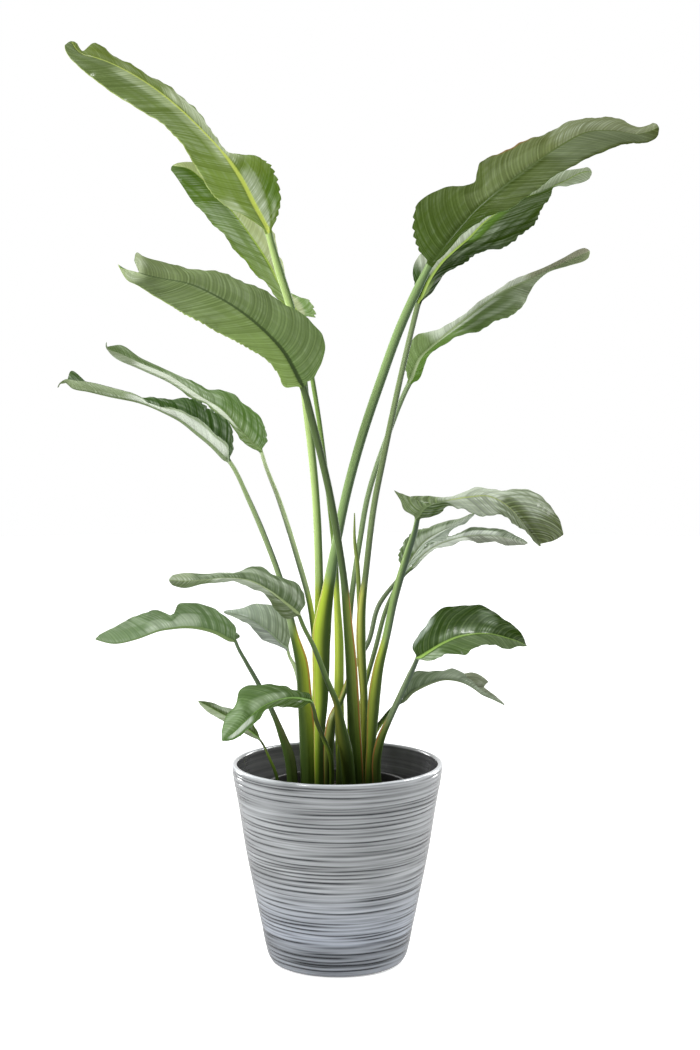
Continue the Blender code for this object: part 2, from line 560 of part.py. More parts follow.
def make_right_leaves(**shared):
    make_leaf(
        "leaf_top_right",
        foot=(-25, -32, 13),
        lean=-60,
        stalk=(
            (319, 740, -32, 14), (321, 700, -31, 20), (321, 670, -30, 24), (322, 630, -28, 26),
            (328, 590, -24, 17), (336, 545, -12, 13), (345, 500, -10, 13), (361, 440, -10, 13),
            (381, 380, -10, 13), (400, 328, -10, 13), (419, 286, -10, 12), (427, 270, -10, 10),
        ),
        blade=(
            ((429, 266, -10), (427, 264, -10), (431, 268, -10)),
            ((436, 258, -10), (417, 248, -8), (444, 255, -14)),
            ((446, 245, -11), (412, 228, -4), (460, 237, -22)),
            ((460, 228, -12), (418, 203, 0), (478, 222, -28)),
            ((475, 211, -13), (441, 189, 4), (498, 213, -30)),
            ((492, 196, -14), (472, 183, 6), (516, 205, -30)),
            ((512, 180, -14), (481, 163, 10), (536, 190, -28)),
            ((535, 163, -14), (515, 146, 14), (558, 174, -26)),
            ((560, 146, -13), (548, 132, 16), (585, 160, -26)),
            ((588, 132, -12), (585, 118, 14), (610, 149, -24)),
            ((615, 131, -10), (618, 119, 8), (632, 143, -20)),
            ((640, 134, -8), (640, 127, 2), (649, 142, -14)),
            ((651, 131, -7), (649, 125, -1), (656, 138, -11)),
            ((659, 127, -6), (657, 120, -5), (661, 130, -7)),
        ),
        **shared,
    )
    make_leaf(
        "leaf_second_right",
        foot=(37, 23, 13),
        lean=90,
        stalk=(
            (364, 700, 20, 11), (361, 640, 16, 14), (362, 604, 16, 12), (365, 580, 16, 9),
            (375, 500, 20, 9), (383, 460, 22, 9), (400, 380, 26, 8.5), (417, 308, 30, 8),
        ),
        blade=(
            ((418, 304, 30), (416, 303, 30), (420, 305, 30)),
            ((422, 297, 30), (414, 283, 38), (431, 293, 24)),
            ((430, 280, 31), (413, 268, 46), (445, 275, 20)),
            ((440, 265, 32), (422, 254, 52), (463, 263, 16)),
            ((454, 247, 33), (446, 240, 50), (485, 252, 12)),
            ((470, 227, 34), (466, 220, 48), (512, 243, 10)),
            ((492, 207, 36), (488, 200, 50), (533, 225, 10)),
            ((515, 195, 38), (512, 188, 50), (546, 203, 14)),
            ((540, 186, 40), (538, 180, 50), (555, 187, 26)),
            ((565, 178, 41), (563, 172, 46), (570, 183, 34)),
            ((584, 172, 42), (583, 168, 43), (586, 181, 38)),
            ((592, 172, 42), (591, 166, 42), (593, 176, 41)),
        ),
        **shared,
    )
    make_leaf(
        "leaf_third_right",
        foot=(20, 52, 10),
        lean=170,
        stalk=(
            (350, 700, 52, 9), (350, 615, 50, 8), (360, 540, 44, 8), (367, 500, 42, 8),
            (388, 435, 43, 8), (407, 388, 46, 7.5),
        ),
        blade=(
            ((409, 384, 46), (407, 384, 46), (412, 385, 46)),
            ((413, 375, 47), (405, 369, 52), (419, 379, 42)),
            ((420, 359, 48), (405, 352, 58), (428, 358, 38)),
            ((432, 347, 49), (418, 335, 62), (443, 344, 34)),
            ((450, 331, 50), (442, 328, 58), (468, 334, 30)),
            ((466, 318, 50), (464, 314, 56), (490, 325, 28)),
            ((485, 303, 50), (482, 300, 58), (508, 316, 28)),
            ((505, 290, 48), (503, 286, 58), (522, 308, 28)),
            ((525, 281, 46), (522, 276, 54), (530, 291, 32)),
            ((545, 272, 44), (543, 268, 48), (547, 273, 40)),
            ((565, 262, 42), (563, 258, 44), (568, 266, 38)),
            ((583, 254, 40), (580, 249, 42), (586, 260, 38)),
            ((590, 251, 40), (588, 247, 40), (591, 255, 40)),
        ),
        **shared,
    )
    make_leaf(
        "leaf_middle_right",
        foot=(44, -8, 12),
        lean=-60,
        stalk=(
            (371, 745, -10, 13), (373, 712, -11, 17), (375, 690, -12, 17), (379, 665, -13, 14),
            (385.5, 640, -14, 11), (394, 600, -16, 11), (408, 552, -18, 11), (416, 526, -18, 9),
        ),
        blade=(
            ((417, 520, -18), (416, 519, -15), (418, 521, -21)),
            ((419, 514, -19), (404, 509, -12), (431, 517, -28)),
            ((424, 508, -20), (399, 497, -4), (442, 512, -36)),
            ((434, 504, -21), (415, 497, 4), (449, 506, -42)),
            ((450, 500, -22), (440, 498, 8), (458, 507, -46)),
            ((468, 497, -24), (468, 491, 10), (472, 514, -50)),
            ((488, 499, -26), (494, 489, 12), (488, 518, -52)),
            ((506, 507, -28), (520, 490, 12), (505, 522, -54)),
            ((520, 518, -30), (543, 497, 8), (516, 531, -54)),
            ((531, 530, -32), (558, 518, -2), (524, 540, -50)),
            ((538, 539, -33), (565, 541, -16), (535, 547, -44)),
        ),
        **shared,
    )
    make_leaf(
        "leaf_thin_right",
        foot=(-12, -12, 15),
        lean=110,
        stalk=(
            (329, 740, -11, 16), (333, 716, -6, 12), (341, 700, 2, 8), (349, 678, 15, 7),
            (355, 666, 33, 7), (361, 655, 42, 7), (367, 645, 46, 7), (379, 605, 52, 7), (400, 577, 58, 6),
        ),
        blade=(
            ((403, 573, 58), (402, 571, 60), (404, 575, 56)),
            ((407, 566, 58), (398, 560, 64), (414, 562, 52)),
            ((414, 555, 58), (400, 546, 70), (424, 550, 46)),
            ((424, 542, 58), (412, 534, 70), (438, 540, 44)),
            ((440, 532, 57), (434, 524, 68), (452, 532, 44)),
            ((458, 524, 56), (456, 520, 64), (465, 522, 48)),
            ((475, 513, 55), (474, 512, 55), (476, 514, 54)),
        ),
        **shared,
    )
    make_leaf(
        "leaf_back_right",
        foot=(30, 62, 8),
        lean=180,
        stalk=((362, 700, 66, 7), (375, 650, 72, 7), (390, 600, 76, 6.5), (408, 571, 78, 5.5)),
        blade=(
            ((412, 568, 78), (411, 566, 80), (413, 570, 76)),
            ((420, 558, 79), (416, 552, 88), (424, 557, 72)),
            ((436, 546, 80), (432, 541, 92), (440, 548, 68)),
            ((458, 538, 82), (456, 533, 96), (462, 542, 68)),
            ((485, 535, 84), (485, 527, 96), (488, 542, 70)),
            ((508, 538, 86), (508, 532, 94), (508, 545, 76)),
            ((528, 543, 87), (527, 541, 87), (528, 545, 86)),
        ),
        **shared,
    )
    make_leaf(
        "leaf_low_right",
        foot=(57, -27, 13),
        lean=-120,
        stalk=(
            (377, 755, -28, 13), (381, 738, -31, 12), (389, 720, -36, 9), (402, 692, -42, 8.5),
            (410, 675, -46, 8.5), (415, 664, -48, 7.5),
        ),
        blade=(
            ((417, 659, -48), (416, 658, -45), (418, 660, -51)),
            ((421, 657, -49), (413, 648, -38), (427, 661, -60)),
            ((429, 652, -50), (420, 632, -26), (438, 658, -72)),
            ((442, 644, -52), (434, 616, -18), (452, 654, -80)),
            ((458, 637, -54), (450, 606, -14), (466, 653, -84)),
            ((474, 634, -56), (468, 605, -14), (478, 648, -84)),
            ((490, 634, -58), (488, 609, -18), (492, 643, -82)),
            ((507, 638, -60), (508, 621, -34), (507, 650, -76)),
            ((519, 642, -62), (522, 635, -50), (519, 646, -68)),
            ((527, 646, -62), (527, 645, -62), (527, 647, -63)),
        ),
        **shared,
    )
    make_leaf(
        "leaf_lowest_right",
        foot=(54, 14, 9),
        lean=80,
        stalk=((376, 730, 14, 8), (383, 720, 14, 7.5), (391, 710, 12, 7), (399, 703, 10, 6)),
        blade=(
            ((401, 702, 10), (401, 702, 13), (401, 701, 7)),
            ((406, 698, 9), (408, 690, 24), (402, 689, -2)),
            ((412, 692, 8), (416, 682, 34), (408, 675, -8)),
            ((425, 685, 7), (428, 679, 38), (425, 672, -12)),
            ((445, 679, 6), (448, 675, 40), (448, 669, -12)),
            ((463, 682, 5), (468, 674, 36), (464, 674, -10)),
            ((480, 692, 3), (482, 682, 24), (479, 685, -8)),
            ((493, 699, 2), (494, 695, 10), (492, 696, -4)),
            ((505, 705, 1), (505, 704, 2), (505, 704, 0)),
        ),
        **shared,
    )


def make_young_growth(**shared):
    make_leaf(
        "rolled_spear",
        foot=(38, 38, 8),
        stalk=(
            (363, 700, 39, 7), (361, 640, 41, 7), (359, 595, 43, 7), (357, 560, 44, 6),
            (355, 545, 44, 5), (354.5, 513, 44, 1.6),
        ),
        blade=(),
        **shared,
    )
    make_leaf(
        "young_shoot",
        foot=(3.5, -36, 10),
        stalk=((339, 775, -36, 9), (338.5, 760, -36, 6), (338, 745, -36, 1.6)),
        blade=(),
        **shared,
    )


def bore_holes(soil, cutters):
    cut = soil.modifiers.new("stalk_holes", "BOOLEAN")
    cut.operation = "DIFFERENCE"
    cut.operand_type = "COLLECTION"
    cut.collection = cutters
    cut.solver = "EXACT"


clear_scene()
parts = new_collection("potted_bird_of_paradise")
cutters = new_collection("cutters")
make_glazed_pot(parts)
make_nursery_pot(parts)
soil = make_soil(parts)
make_left_leaves(parts=parts, cutters=cutters)
make_right_leaves(parts=parts, cutters=cutters)
make_young_growth(parts=parts, cutters=cutters)
bore_holes(soil, cutters)
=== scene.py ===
# %% [markdown]
# # A potted giant white bird of paradise
# The plant is sold young, in a black nursery pot that stands in a glazed pot. The CAD solids are faceted
# stand-ins for collision and mass. This lesson gives the plant its real surfaces: pleated blades with
# veins, channelled stalks, clasping sheaths and a combed glaze.
#
# We first load the imported model as a fixed frame. Every piece we make replaces one of its nodes.

# %% Load the fixed frame
import math
import random

import bmesh
import bpy
import numpy as np
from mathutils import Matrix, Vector, noise


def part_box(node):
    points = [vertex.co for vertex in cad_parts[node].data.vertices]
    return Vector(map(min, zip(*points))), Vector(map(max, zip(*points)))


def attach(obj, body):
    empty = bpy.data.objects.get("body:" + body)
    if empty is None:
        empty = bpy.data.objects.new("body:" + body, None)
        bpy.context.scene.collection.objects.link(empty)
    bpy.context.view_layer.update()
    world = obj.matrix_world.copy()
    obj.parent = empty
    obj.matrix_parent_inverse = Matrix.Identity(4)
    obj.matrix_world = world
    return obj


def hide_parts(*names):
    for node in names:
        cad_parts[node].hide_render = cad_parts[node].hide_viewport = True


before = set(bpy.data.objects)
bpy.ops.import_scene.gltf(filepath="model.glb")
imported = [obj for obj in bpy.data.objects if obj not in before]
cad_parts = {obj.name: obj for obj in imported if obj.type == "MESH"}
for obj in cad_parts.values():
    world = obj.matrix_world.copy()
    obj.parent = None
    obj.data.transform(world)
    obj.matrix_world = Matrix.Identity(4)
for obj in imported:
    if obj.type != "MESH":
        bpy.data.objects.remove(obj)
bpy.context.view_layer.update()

# %% [markdown]
# ## The camera, and how places are read with it
# The photograph gives no distances, but its round pot does: the ellipses of its rim and foot fix where the
# camera stood and how far it looked down. So a place on the plant is one picture pixel and one depth
# behind the pot's axis. We call such a triple a sighting.

# %% The camera
MM = 0.001
EYE = np.array([18, -2800, 897]) * MM
EYE_TILT = 0.0975
PICTURE_WIDTH, PICTURE_HEIGHT = 700, 1050
PICTURE_SCALE = 2000
SENSOR = 36


def add_object(name, data):
    """A new object in the scene."""
    made = bpy.data.objects.new(name, data)
    bpy.context.scene.collection.objects.link(made)
    return made


camera = add_object("studio_camera", bpy.data.cameras.new("studio_camera"))
camera.data.sensor_width = SENSOR
camera.data.lens = SENSOR * PICTURE_SCALE / PICTURE_HEIGHT
camera.location = EYE
camera.rotation_euler = (math.pi / 2 - EYE_TILT, 0, 0)
bpy.context.scene.camera = camera
print("focal length:", round(camera.data.lens, 2), "mm")


# %% Turning sightings into places
def sight(sightings):
    """Places in metres from (pixels across, pixels down, millimetres behind the pot's axis)."""
    across, down, back = np.moveaxis(np.asarray(sightings, float), -1, 0)
    side = (across - PICTURE_WIDTH / 2) / PICTURE_SCALE
    lift = (PICTURE_HEIGHT / 2 - down) / PICTURE_SCALE
    sink, level = math.sin(EYE_TILT), math.cos(EYE_TILT)
    ray = np.stack([side, level + lift * sink, lift * level - sink], axis=-1)
    reach = (back * MM - EYE[1]) / ray[..., 1]
    return EYE + ray * reach[..., None]


def height_seen(down):
    """The height of a picture row at the pot's axis."""
    return sight((PICTURE_WIDTH / 2, down, 0))[2]


print("top of the plant, seen at row 40:", round(height_seen(40), 3), "m")

# %% [markdown]
# ## Colours and nodes
# Colours are picked as sRGB hex values, as a paint program shows them. Blender's shaders work in linear
# light, so one function turns hex into linear. One more adds a node, sets it and links it in one call.

# %% Colour and node helpers
def linear(hex_colour):
    """Linear red, green and blue from an sRGB hex colour."""
    parts = [int(hex_colour[i : i + 2], 16) / 255 for i in (1, 3, 5)]
    return np.array([c / 12.92 if c <= 0.04045 else ((c + 0.055) / 1.055) ** 2.4 for c in parts])


def blend(one, other, share):
    """From one value or colour to the other, as share goes from 0 to 1."""
    return one * (1 - share) + other * share


def feed(node, values):
    """Sets sockets from a list in their order, or by name. A node's first output or an output is linked."""
    for socket, value in values.items() if isinstance(values, dict) else enumerate(values):
        if isinstance(value, bpy.types.Node):
            value = value.outputs[0]
        if isinstance(value, bpy.types.NodeSocket):
            node.id_data.links.new(value, node.inputs[socket])
        else:
            node.inputs[socket].default_value = value


def add_node(tree, kind, values=(), **settings):
    """A node with its settings, its sockets set and linked."""
    made = tree.nodes.new("ShaderNode" + kind)
    for key, value in settings.items():
        setattr(made, key, value)
    feed(made, values)
    return made


def new_finish(name):
    """A material, its node tree and its Principled shader."""
    made = bpy.data.materials.new(name)
    made.use_nodes = True
    return made, made.node_tree, made.node_tree.nodes["Principled BSDF"]


print("leaf green in linear light:", np.round(linear("#4F7030"), 3))

# %% [markdown]
# ## The leaf's skin
# A leaf of this plant has a waxy cuticle: satin, with a thin glossy film over it. Parallel veins run from
# the midrib to the margin and bend towards the tip. The strong ones, about a centimetre apart, pleat the
# blade, and finer ones lie between them. A white bloom of wax lies on it in streaks, and painted sheen, a
# pale highlight laid into the colour, lies in the same streaks.
#
# The pattern has to follow each leaf's own curve, so the mesh carries attributes that the skin reads:
# leaf_tint, a colour, and leaf_place, which holds where the point's vein left the rib and the point's
# distance from the rib, both in metres, and its share of the length. Noise that is stretched along the
# veins gives streaks that no two leaves share. leaf_habit says how pale a leaf's veins are, how much bloom
# and painted sheen it has, and how glossy it is.

# %% The skin of a blade's upper face and underside
VEIN_SPACING = 9.5 * MM
FINE_VEIN_SPACING = 2.6 * MM
STREAK_LENGTH = 45 * MM
FOLD_LENGTH, FOLD_WIDTH = 130 * MM, 9 * MM
# The grey of the wax bloom, which also paints the sheen
PALE_VEIN, BLOOM_AND_SHEEN_GREY = (*linear("#A9C07C"), 1), (*linear("#C3CDBB"), 1)


def streaks(tree, place, spacing, bend, detail):
    """Noise in streaks along the veins, `spacing` metres apart, that changes slowly towards the margin."""
    scale = (1 / spacing, bend / STREAK_LENGTH, 1)
    stretch = add_node(tree, "VectorMath", [place, scale], operation="MULTIPLY")
    return add_node(tree, "TexNoise", {"Vector": stretch, "Scale": 1, "Detail": detail})


def blade_finish(name, roughness, wax, vein_pull, relief):
    """A leaf skin: wax is the glossy film's weight, vein_pull how much veins differ from the ground."""
    made, tree, shader = new_finish(name)
    tint = add_node(tree, "Attribute", attribute_name="leaf_tint")
    place = add_node(tree, "Attribute", attribute_name="leaf_place").outputs["Vector"]
    habit = add_node(tree, "Attribute", attribute_name="leaf_habit").outputs["Vector"]
    # The second number of leaf_habit is how much wax bloom and painted sheen a point has
    paleness, bloom_and_sheen_amount, glossiness = add_node(tree, "SeparateXYZ", [habit]).outputs
    along = add_node(tree, "SeparateXYZ", [place])
    turns = add_node(tree, "Math", [along, 2 * math.pi / VEIN_SPACING], operation="MULTIPLY")
    swing = add_node(tree, "Math", [turns], operation="COSINE")
    crest = add_node(tree, "MapRange", [swing, 0.55, 1, 0, 1])
    # One regular vein lies between each pair of strong ones
    ripple = add_node(tree, "Math", [turns, 2], operation="MULTIPLY")
    ripple = add_node(tree, "Math", [ripple], operation="COSINE")
    fine = streaks(tree, place, FINE_VEIN_SPACING, 0.4, 1)
    middle = streaks(tree, place, 0.8 * VEIN_SPACING, 0.9, 2)
    broad = streaks(tree, place, 3 * VEIN_SPACING, 1.2, 2)
    # Streaks of three widths darken and lighten the ground, and the strong veins come and go among them
    shade = fine_shade = add_node(tree, "MapRange", [fine, 0.3, 0.7, 1 - vein_pull, 1 + vein_pull])
    others = ((middle, 0.3, 0.7, 0.04), (ripple, -1, 1, 0.05), (broad, 0.3, 0.7, 0.08))
    for pattern, low, high, pull in others:
        other_shade = add_node(tree, "MapRange", [pattern, low, high, 1 - pull, 1 + pull])
        shade = add_node(tree, "Math", [shade, other_shade], operation="MULTIPLY")
    ground = add_node(tree, "VectorMath", {0: tint, 3: shade}, operation="SCALE")
    strength = add_node(tree, "Math", [crest, middle], operation="MULTIPLY")
    pale = add_node(tree, "Math", [strength, paleness], operation="MULTIPLY")
    veined = add_node(tree, "Mix", {0: pale, 6: ground, 7: PALE_VEIN}, data_type="RGBA")
    # Bloom and painted sheen lie in fine streaks; long streaks along the blade paint the sheen of its folds
    bloom_and_sheen = add_node(tree, "MapRange", [fine, 0.36, 0.74, 0, 1])
    bloom_and_sheen = add_node(tree, "Math", [bloom_and_sheen, bloom_and_sheen_amount], operation="MULTIPLY")
    fold_sheen = add_node(tree, "VectorMath", [place, (1 / FOLD_LENGTH, 1 / FOLD_WIDTH, 0)], operation="MULTIPLY")
    fold_sheen = add_node(tree, "TexNoise", {"Vector": fold_sheen, "Scale": 1, "Detail": 1})
    fold_sheen = add_node(tree, "MapRange", [fold_sheen, 0.38, 0.62, 0.15, 1.7])
    bloom_and_sheen = add_node(tree, "Math", [bloom_and_sheen, fold_sheen], operation="MULTIPLY", use_clamp=True)
    with_bloom_and_sheen = add_node(tree, "Mix", {0: bloom_and_sheen, 6: veined.outputs[2], 7: BLOOM_AND_SHEEN_GREY}, data_type="RGBA")
    height = add_node(tree, "Math", [fine, 0.5, middle], operation="MULTIPLY_ADD")
    bump = add_node(tree, "Bump", {"Strength": relief, "Distance": 0.7 * MM, "Height": height})
    # The film lies in patches that follow the veins, so that the gloss breaks into streaks
    gloss = add_node(tree, "MapRange", [broad, 0.42, 0.62, 0.05, wax])
    for factor in (glossiness, fine_shade):
        gloss = add_node(tree, "Math", [gloss, factor], operation="MULTIPLY")
    feed(shader, {"Base Color": with_bloom_and_sheen.outputs[2], "Normal": bump, "Roughness": roughness})
    feed(shader, {"Specular IOR Level": 0, "Coat Weight": gloss, "Coat Roughness": 0.17})
    return made


upper_skin = blade_finish("waxy_leaf_upper", 0.42, 1, 0.13, 0.5)
under_skin = blade_finish("powdery_leaf_underside", 0.55, 0.1, 0.08, 0.3)
print("skins:", upper_skin.name, under_skin.name)

# %% [markdown]
# The stalks have the same cuticle over long fibres, which show as faint streaks along the stalk. The
# attribute stalk_place holds the way up the stalk and, as a cosine and a sine, the way round it, so that
# the streaks close without a seam.

# %% The skin of stalks and sheaths
FIBRE_STREAKS = (1 / (250 * MM), 2.4, 2.4)

stalk_skin, tree, shader = new_finish("waxy_stalk")
tint = add_node(tree, "Attribute", attribute_name="leaf_tint")
place = add_node(tree, "Attribute", attribute_name="stalk_place").outputs["Vector"]
stretch = add_node(tree, "VectorMath", [place, FIBRE_STREAKS], operation="MULTIPLY")
streak = add_node(tree, "TexNoise", {"Vector": stretch, "Scale": 1, "Detail": 1})
shade = add_node(tree, "MapRange", [streak, 0.25, 0.75, 0.84, 1.15])
fibre = add_node(tree, "VectorMath", {0: tint, 3: shade}, operation="SCALE")
bump = add_node(tree, "Bump", {"Strength": 0.2, "Distance": 0.4 * MM, "Height": streak})
feed(shader, {"Base Color": fibre, "Normal": bump, "Roughness": 0.36})
feed(shader, {"Specular IOR Level": 0.1, "Coat Weight": 0.15, "Coat Roughness": 0.2})
print("skin:", stalk_skin.name)

# %% [markdown]
# ## The course of a leaf
# A leaf is described by rows from its foot to its tip: a few sightings up the stalk with a width, then
# rows across the blade. A smooth curve through the rows gives as many in-between stations as the finish
# needs: one every seven millimetres on the stalk, and one every 1.7 on the blade, so that each pleat has
# five or six.

# %% Smooth rows from foot to tip
SOIL_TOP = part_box("soil")[1][2]
SOIL_DOWN = 795
ROOT_DEPTH = 25 * MM
STALK_STATION, BLADE_STATION = 7 * MM, 1.7 * MM
RIB_TIP_RADIUS = 0.6 * MM
RIB_TAPER = 1.2


def unit(vectors):
    return vectors / np.maximum(np.linalg.norm(vectors, axis=-1, keepdims=True), 1e-9)


def ease(value):
    """0 to 1 with a soft start and end."""
    value = np.clip(value, 0, 1)
    return value * value * (3 - 2 * value)


def smooth(rows, at, wanted):
    """Rows at the wanted places along a curve through `rows`, which lie at `at`."""
    slopes = np.gradient(rows, at, axis=0)
    span = np.clip(np.searchsorted(at, wanted, side="right") - 1, 0, len(at) - 2)
    width = (at[span + 1] - at[span])[:, None]
    t = (wanted - at[span])[:, None] / width
    start = (1 + 2 * t) * (1 - t) ** 2 * rows[span] + t * (1 - t) ** 2 * width * slopes[span]
    end = t * t * (3 - 2 * t) * rows[span + 1] + t * t * (t - 1) * width * slopes[span + 1]
    return start + end


def leaf_course(foot, lean, stalk, blade):
    """Stations with the rib, both margins and the stalk's half width, and where the blade starts.
    lean is how far back the tip swings, in mm, half along the stalk and half along the blade."""
    x, y, width = np.array(foot) * MM
    stalk = np.array(stalk, float)
    stalk[:, 2] += lean / 2 * ((SOIL_DOWN - stalk[:, 1]) / (SOIL_DOWN - stalk[-1, 1])) ** 2
    centres = np.array([(x, y, SOIL_TOP - ROOT_DEPTH), (x, y, SOIL_TOP + 2 * MM), *sight(stalk[:, :3])])
    halves = np.array([width, width, *stalk[:, 3] * MM]) / 2
    # A row across the blade is the rib's sighting, then the steps from there to both margins
    sections = np.array(blade, float).reshape(-1, 3, 3)
    sections[:, 1:] += sections[:, :1]
    sections[..., 2] += lean / 2 * (1 + np.linspace(0, 1, len(blade)))[:, None]
    sections = sight(sections)
    first_across = unit(sections[0, 2] - sections[0, 1]) if blade else np.array([1.0, 0, 0])
    side = np.array([1.0, 0, 0]) * (1 if first_across[0] >= 0 else -1)
    climbed = np.concatenate([[0], np.cumsum(np.linalg.norm(np.diff(centres, axis=0), axis=1))])
    across = unit(blend(side, first_across, (climbed / climbed[-1])[:, None] ** 4))
    reach = across * halves[:, None]
    rows = np.concatenate([np.stack([centres, centres - reach, centres + reach], axis=1), sections])
    steps = np.linalg.norm(np.diff(rows, axis=0), axis=2)
    steps[: len(centres), 1:] = steps[: len(centres), :1]
    at = np.concatenate([[0], np.cumsum(steps.mean(axis=1))])
    start = at[len(centres)] if blade else at[-1]
    wanted = np.linspace(0, start, max(8, round(start / STALK_STATION)))
    if blade:
        beyond = np.linspace(start, at[-1], round((at[-1] - start) / BLADE_STATION))
        wanted = np.concatenate([wanted[:-1], beyond])
    course = smooth(rows.reshape(-1, 9), at, wanted).reshape(-1, 3, 3)
    share = np.clip((wanted - start) / max(at[-1] - start, 1e-6), 0, 1)
    taper = blend(RIB_TIP_RADIUS, halves[-1], (1 - share) ** RIB_TAPER)
    half = np.where(share > 0, taper, np.interp(wanted, at[: len(halves)], halves))
    return course, half, share, wanted, start


print("soil top at", round(SOIL_TOP, 4), "m")

# %% [markdown]
# ## The section of a leaf
# Each station gets one closed ring of points. The first half of the ring is the upper face, from the left
# margin over the rib to the right margin, and the second half is the underside, back again. On the stalk
# the same points lie on an oval. So one sheet, rolled up and welded, makes the whole leaf, as it grows.

# %% The columns of a ring
LEFT, RIGHT = 0, 1
RIB_REACHES = (0, 0.5, 1.0, 1.15)
FAR_SHARES = (0.06, 0.14, 0.23, 0.33, 0.43, 0.53, 0.63, 0.73, 0.82, 0.9, 0.96, 0.985, 1)
HALF_COLUMNS = [(reach, 0) for reach in RIB_REACHES] + [(RIB_REACHES[-1], share) for share in FAR_SHARES]
UPPER = [(LEFT, *column) for column in HALF_COLUMNS[:0:-1]] + [(RIGHT, *column) for column in HALF_COLUMNS]
RING_HALF, RING_REACH, RING_FAR = np.array(UPPER + UPPER[::-1]).T
RING_HALF = RING_HALF.astype(int)
RING_UP = np.arange(len(RING_HALF)) < len(UPPER)
half_turn = np.radians(np.linspace(177, 3, len(UPPER)))
RING_ANGLE = np.concatenate([half_turn, -half_turn[::-1]])
# Faces between two rib columns belong to the rib
near_rib = (RING_FAR == 0) & (RING_REACH <= np.where(RING_UP, RIB_REACHES[1], RIB_REACHES[-1]))
RIB_COLUMNS = near_rib & np.roll(near_rib, -1)
print("points in a ring:", len(RING_HALF))

# %% [markdown]
# A blade isn't flat. Each half arches between rib and margin, the margin waves, ruffles and tears, and the
# veins pleat it. All of these are small moves along the half's own normal, so they go on the upper face and
# the underside alike, and the blade keeps its thickness of less than a millimetre.

# %% Veins and torn margins
VEIN_SLANT, TIP_SLANT = 0.3, 0.35
VEIN_BEND = 0.4
VEIN_DRIFTS = ((2.2 * MM, 23 * MM), (0.9 * MM, 9.1 * MM))
TOOTH_SPACING = 10 * MM
TOOTH_DRIFT, DEPTH_DRIFT = 17 * MM, 23 * MM


def vein_place(at, share, width, ring_share):
    """Where a point's vein left the rib, in metres along it. The spacing is a little uneven."""
    slant = VEIN_SLANT + TIP_SLANT * share
    place = at - width * (slant * ring_share + VEIN_BEND * ring_share**2)
    return place + sum(size * np.sin(place / length) for size, length in VEIN_DRIFTS)


def torn(widths, teeth, share, length):
    """Both halves' widths, with their margins torn along some stretches: (half, from, to, depth in mm)."""
    widths = list(widths)
    for side, first, last, depth in teeth:
        stretch = ease((share - first) / 0.03) * ease((last - share) / 0.03)
        tooth = (length / TOOTH_SPACING + 0.4 * np.sin(length / TOOTH_DRIFT)) % 1
        uneven = 0.45 + 0.55 * np.abs(np.sin(length / DEPTH_DRIFT + side))
        widths[side] = widths[side] - depth * MM * stretch * uneven * tooth**1.6
    return widths


print("vein spacing:", round(VEIN_SPACING / MM, 1), "mm")

# %% [markdown]
# The two halves meet at the rib at an angle that changes along the leaf, down to nothing where it is
# folded shut. So each half has its own way out from the rib and its own way up.

# %% The two halves of a blade
WELD = 1e-6
TRUSTED_WIDTH = 3


def blade_halves(rib, left, right, radius, forward):
    """For both halves, at every station: the width, the way out from the rib and the way up. Then the way
    up at the rib, and how far the blade is opened, from 0 for folded shut to 1 for flat."""
    whole = unit(np.cross(right - left, forward))
    widths, ways_out, ways_up = [], [], []
    for margin, sense in ((left, -1), (right, 1)):
        reach = margin - rib
        widths.append(np.linalg.norm(reach, axis=1))
        ways_out.append(unit(reach))
        # A half's way up is its own, or the whole blade's where the half is narrow
        own = unit(np.cross(reach * sense, unit(np.gradient(rib + margin, axis=0))))
        trust = np.clip(widths[-1] / (TRUSTED_WIDTH * radius), 0, 1)[:, None]
        ways_up.append(unit(blend(whole, own, trust)))
    opened = np.linalg.norm(right - left, axis=1) / np.maximum(widths[0] + widths[1], WELD)
    return widths, ways_out, ways_up, unit(ways_up[0] + ways_up[1] + 0.2 * whole), opened


print("a half counts in full from a width of", TRUSTED_WIDTH, "rib radii")

# %% [markdown]
# The waves grow towards the margin, the shorter ruffles keep to the margin itself, and the pleats follow
# the veins. All of them grow with the width of the half, so that the narrow tip stays calm.

# %% Waves, ruffles and pleats
BLADE_THICKNESS = 0.7 * MM
RIB_DEPTH, RIB_CHANNEL = 1.1, 0.22
CROWN, FOLDED_CROWN = 0.07, 0.25
WAVE_LENGTH, WAVE_OFFSET = 55 * MM, 2.1
WAVE_FULL_WIDTH = 30 * MM
RUFFLE_LENGTH, RUFFLE_HEIGHT, RUFFLE_DRIFT = 19 * MM, 0.9 * MM, 31 * MM
PLEAT_HEIGHT = 0.5 * MM
PLEAT_FULL_WIDTH, PLEAT_FADE = 22 * MM, 10 * MM


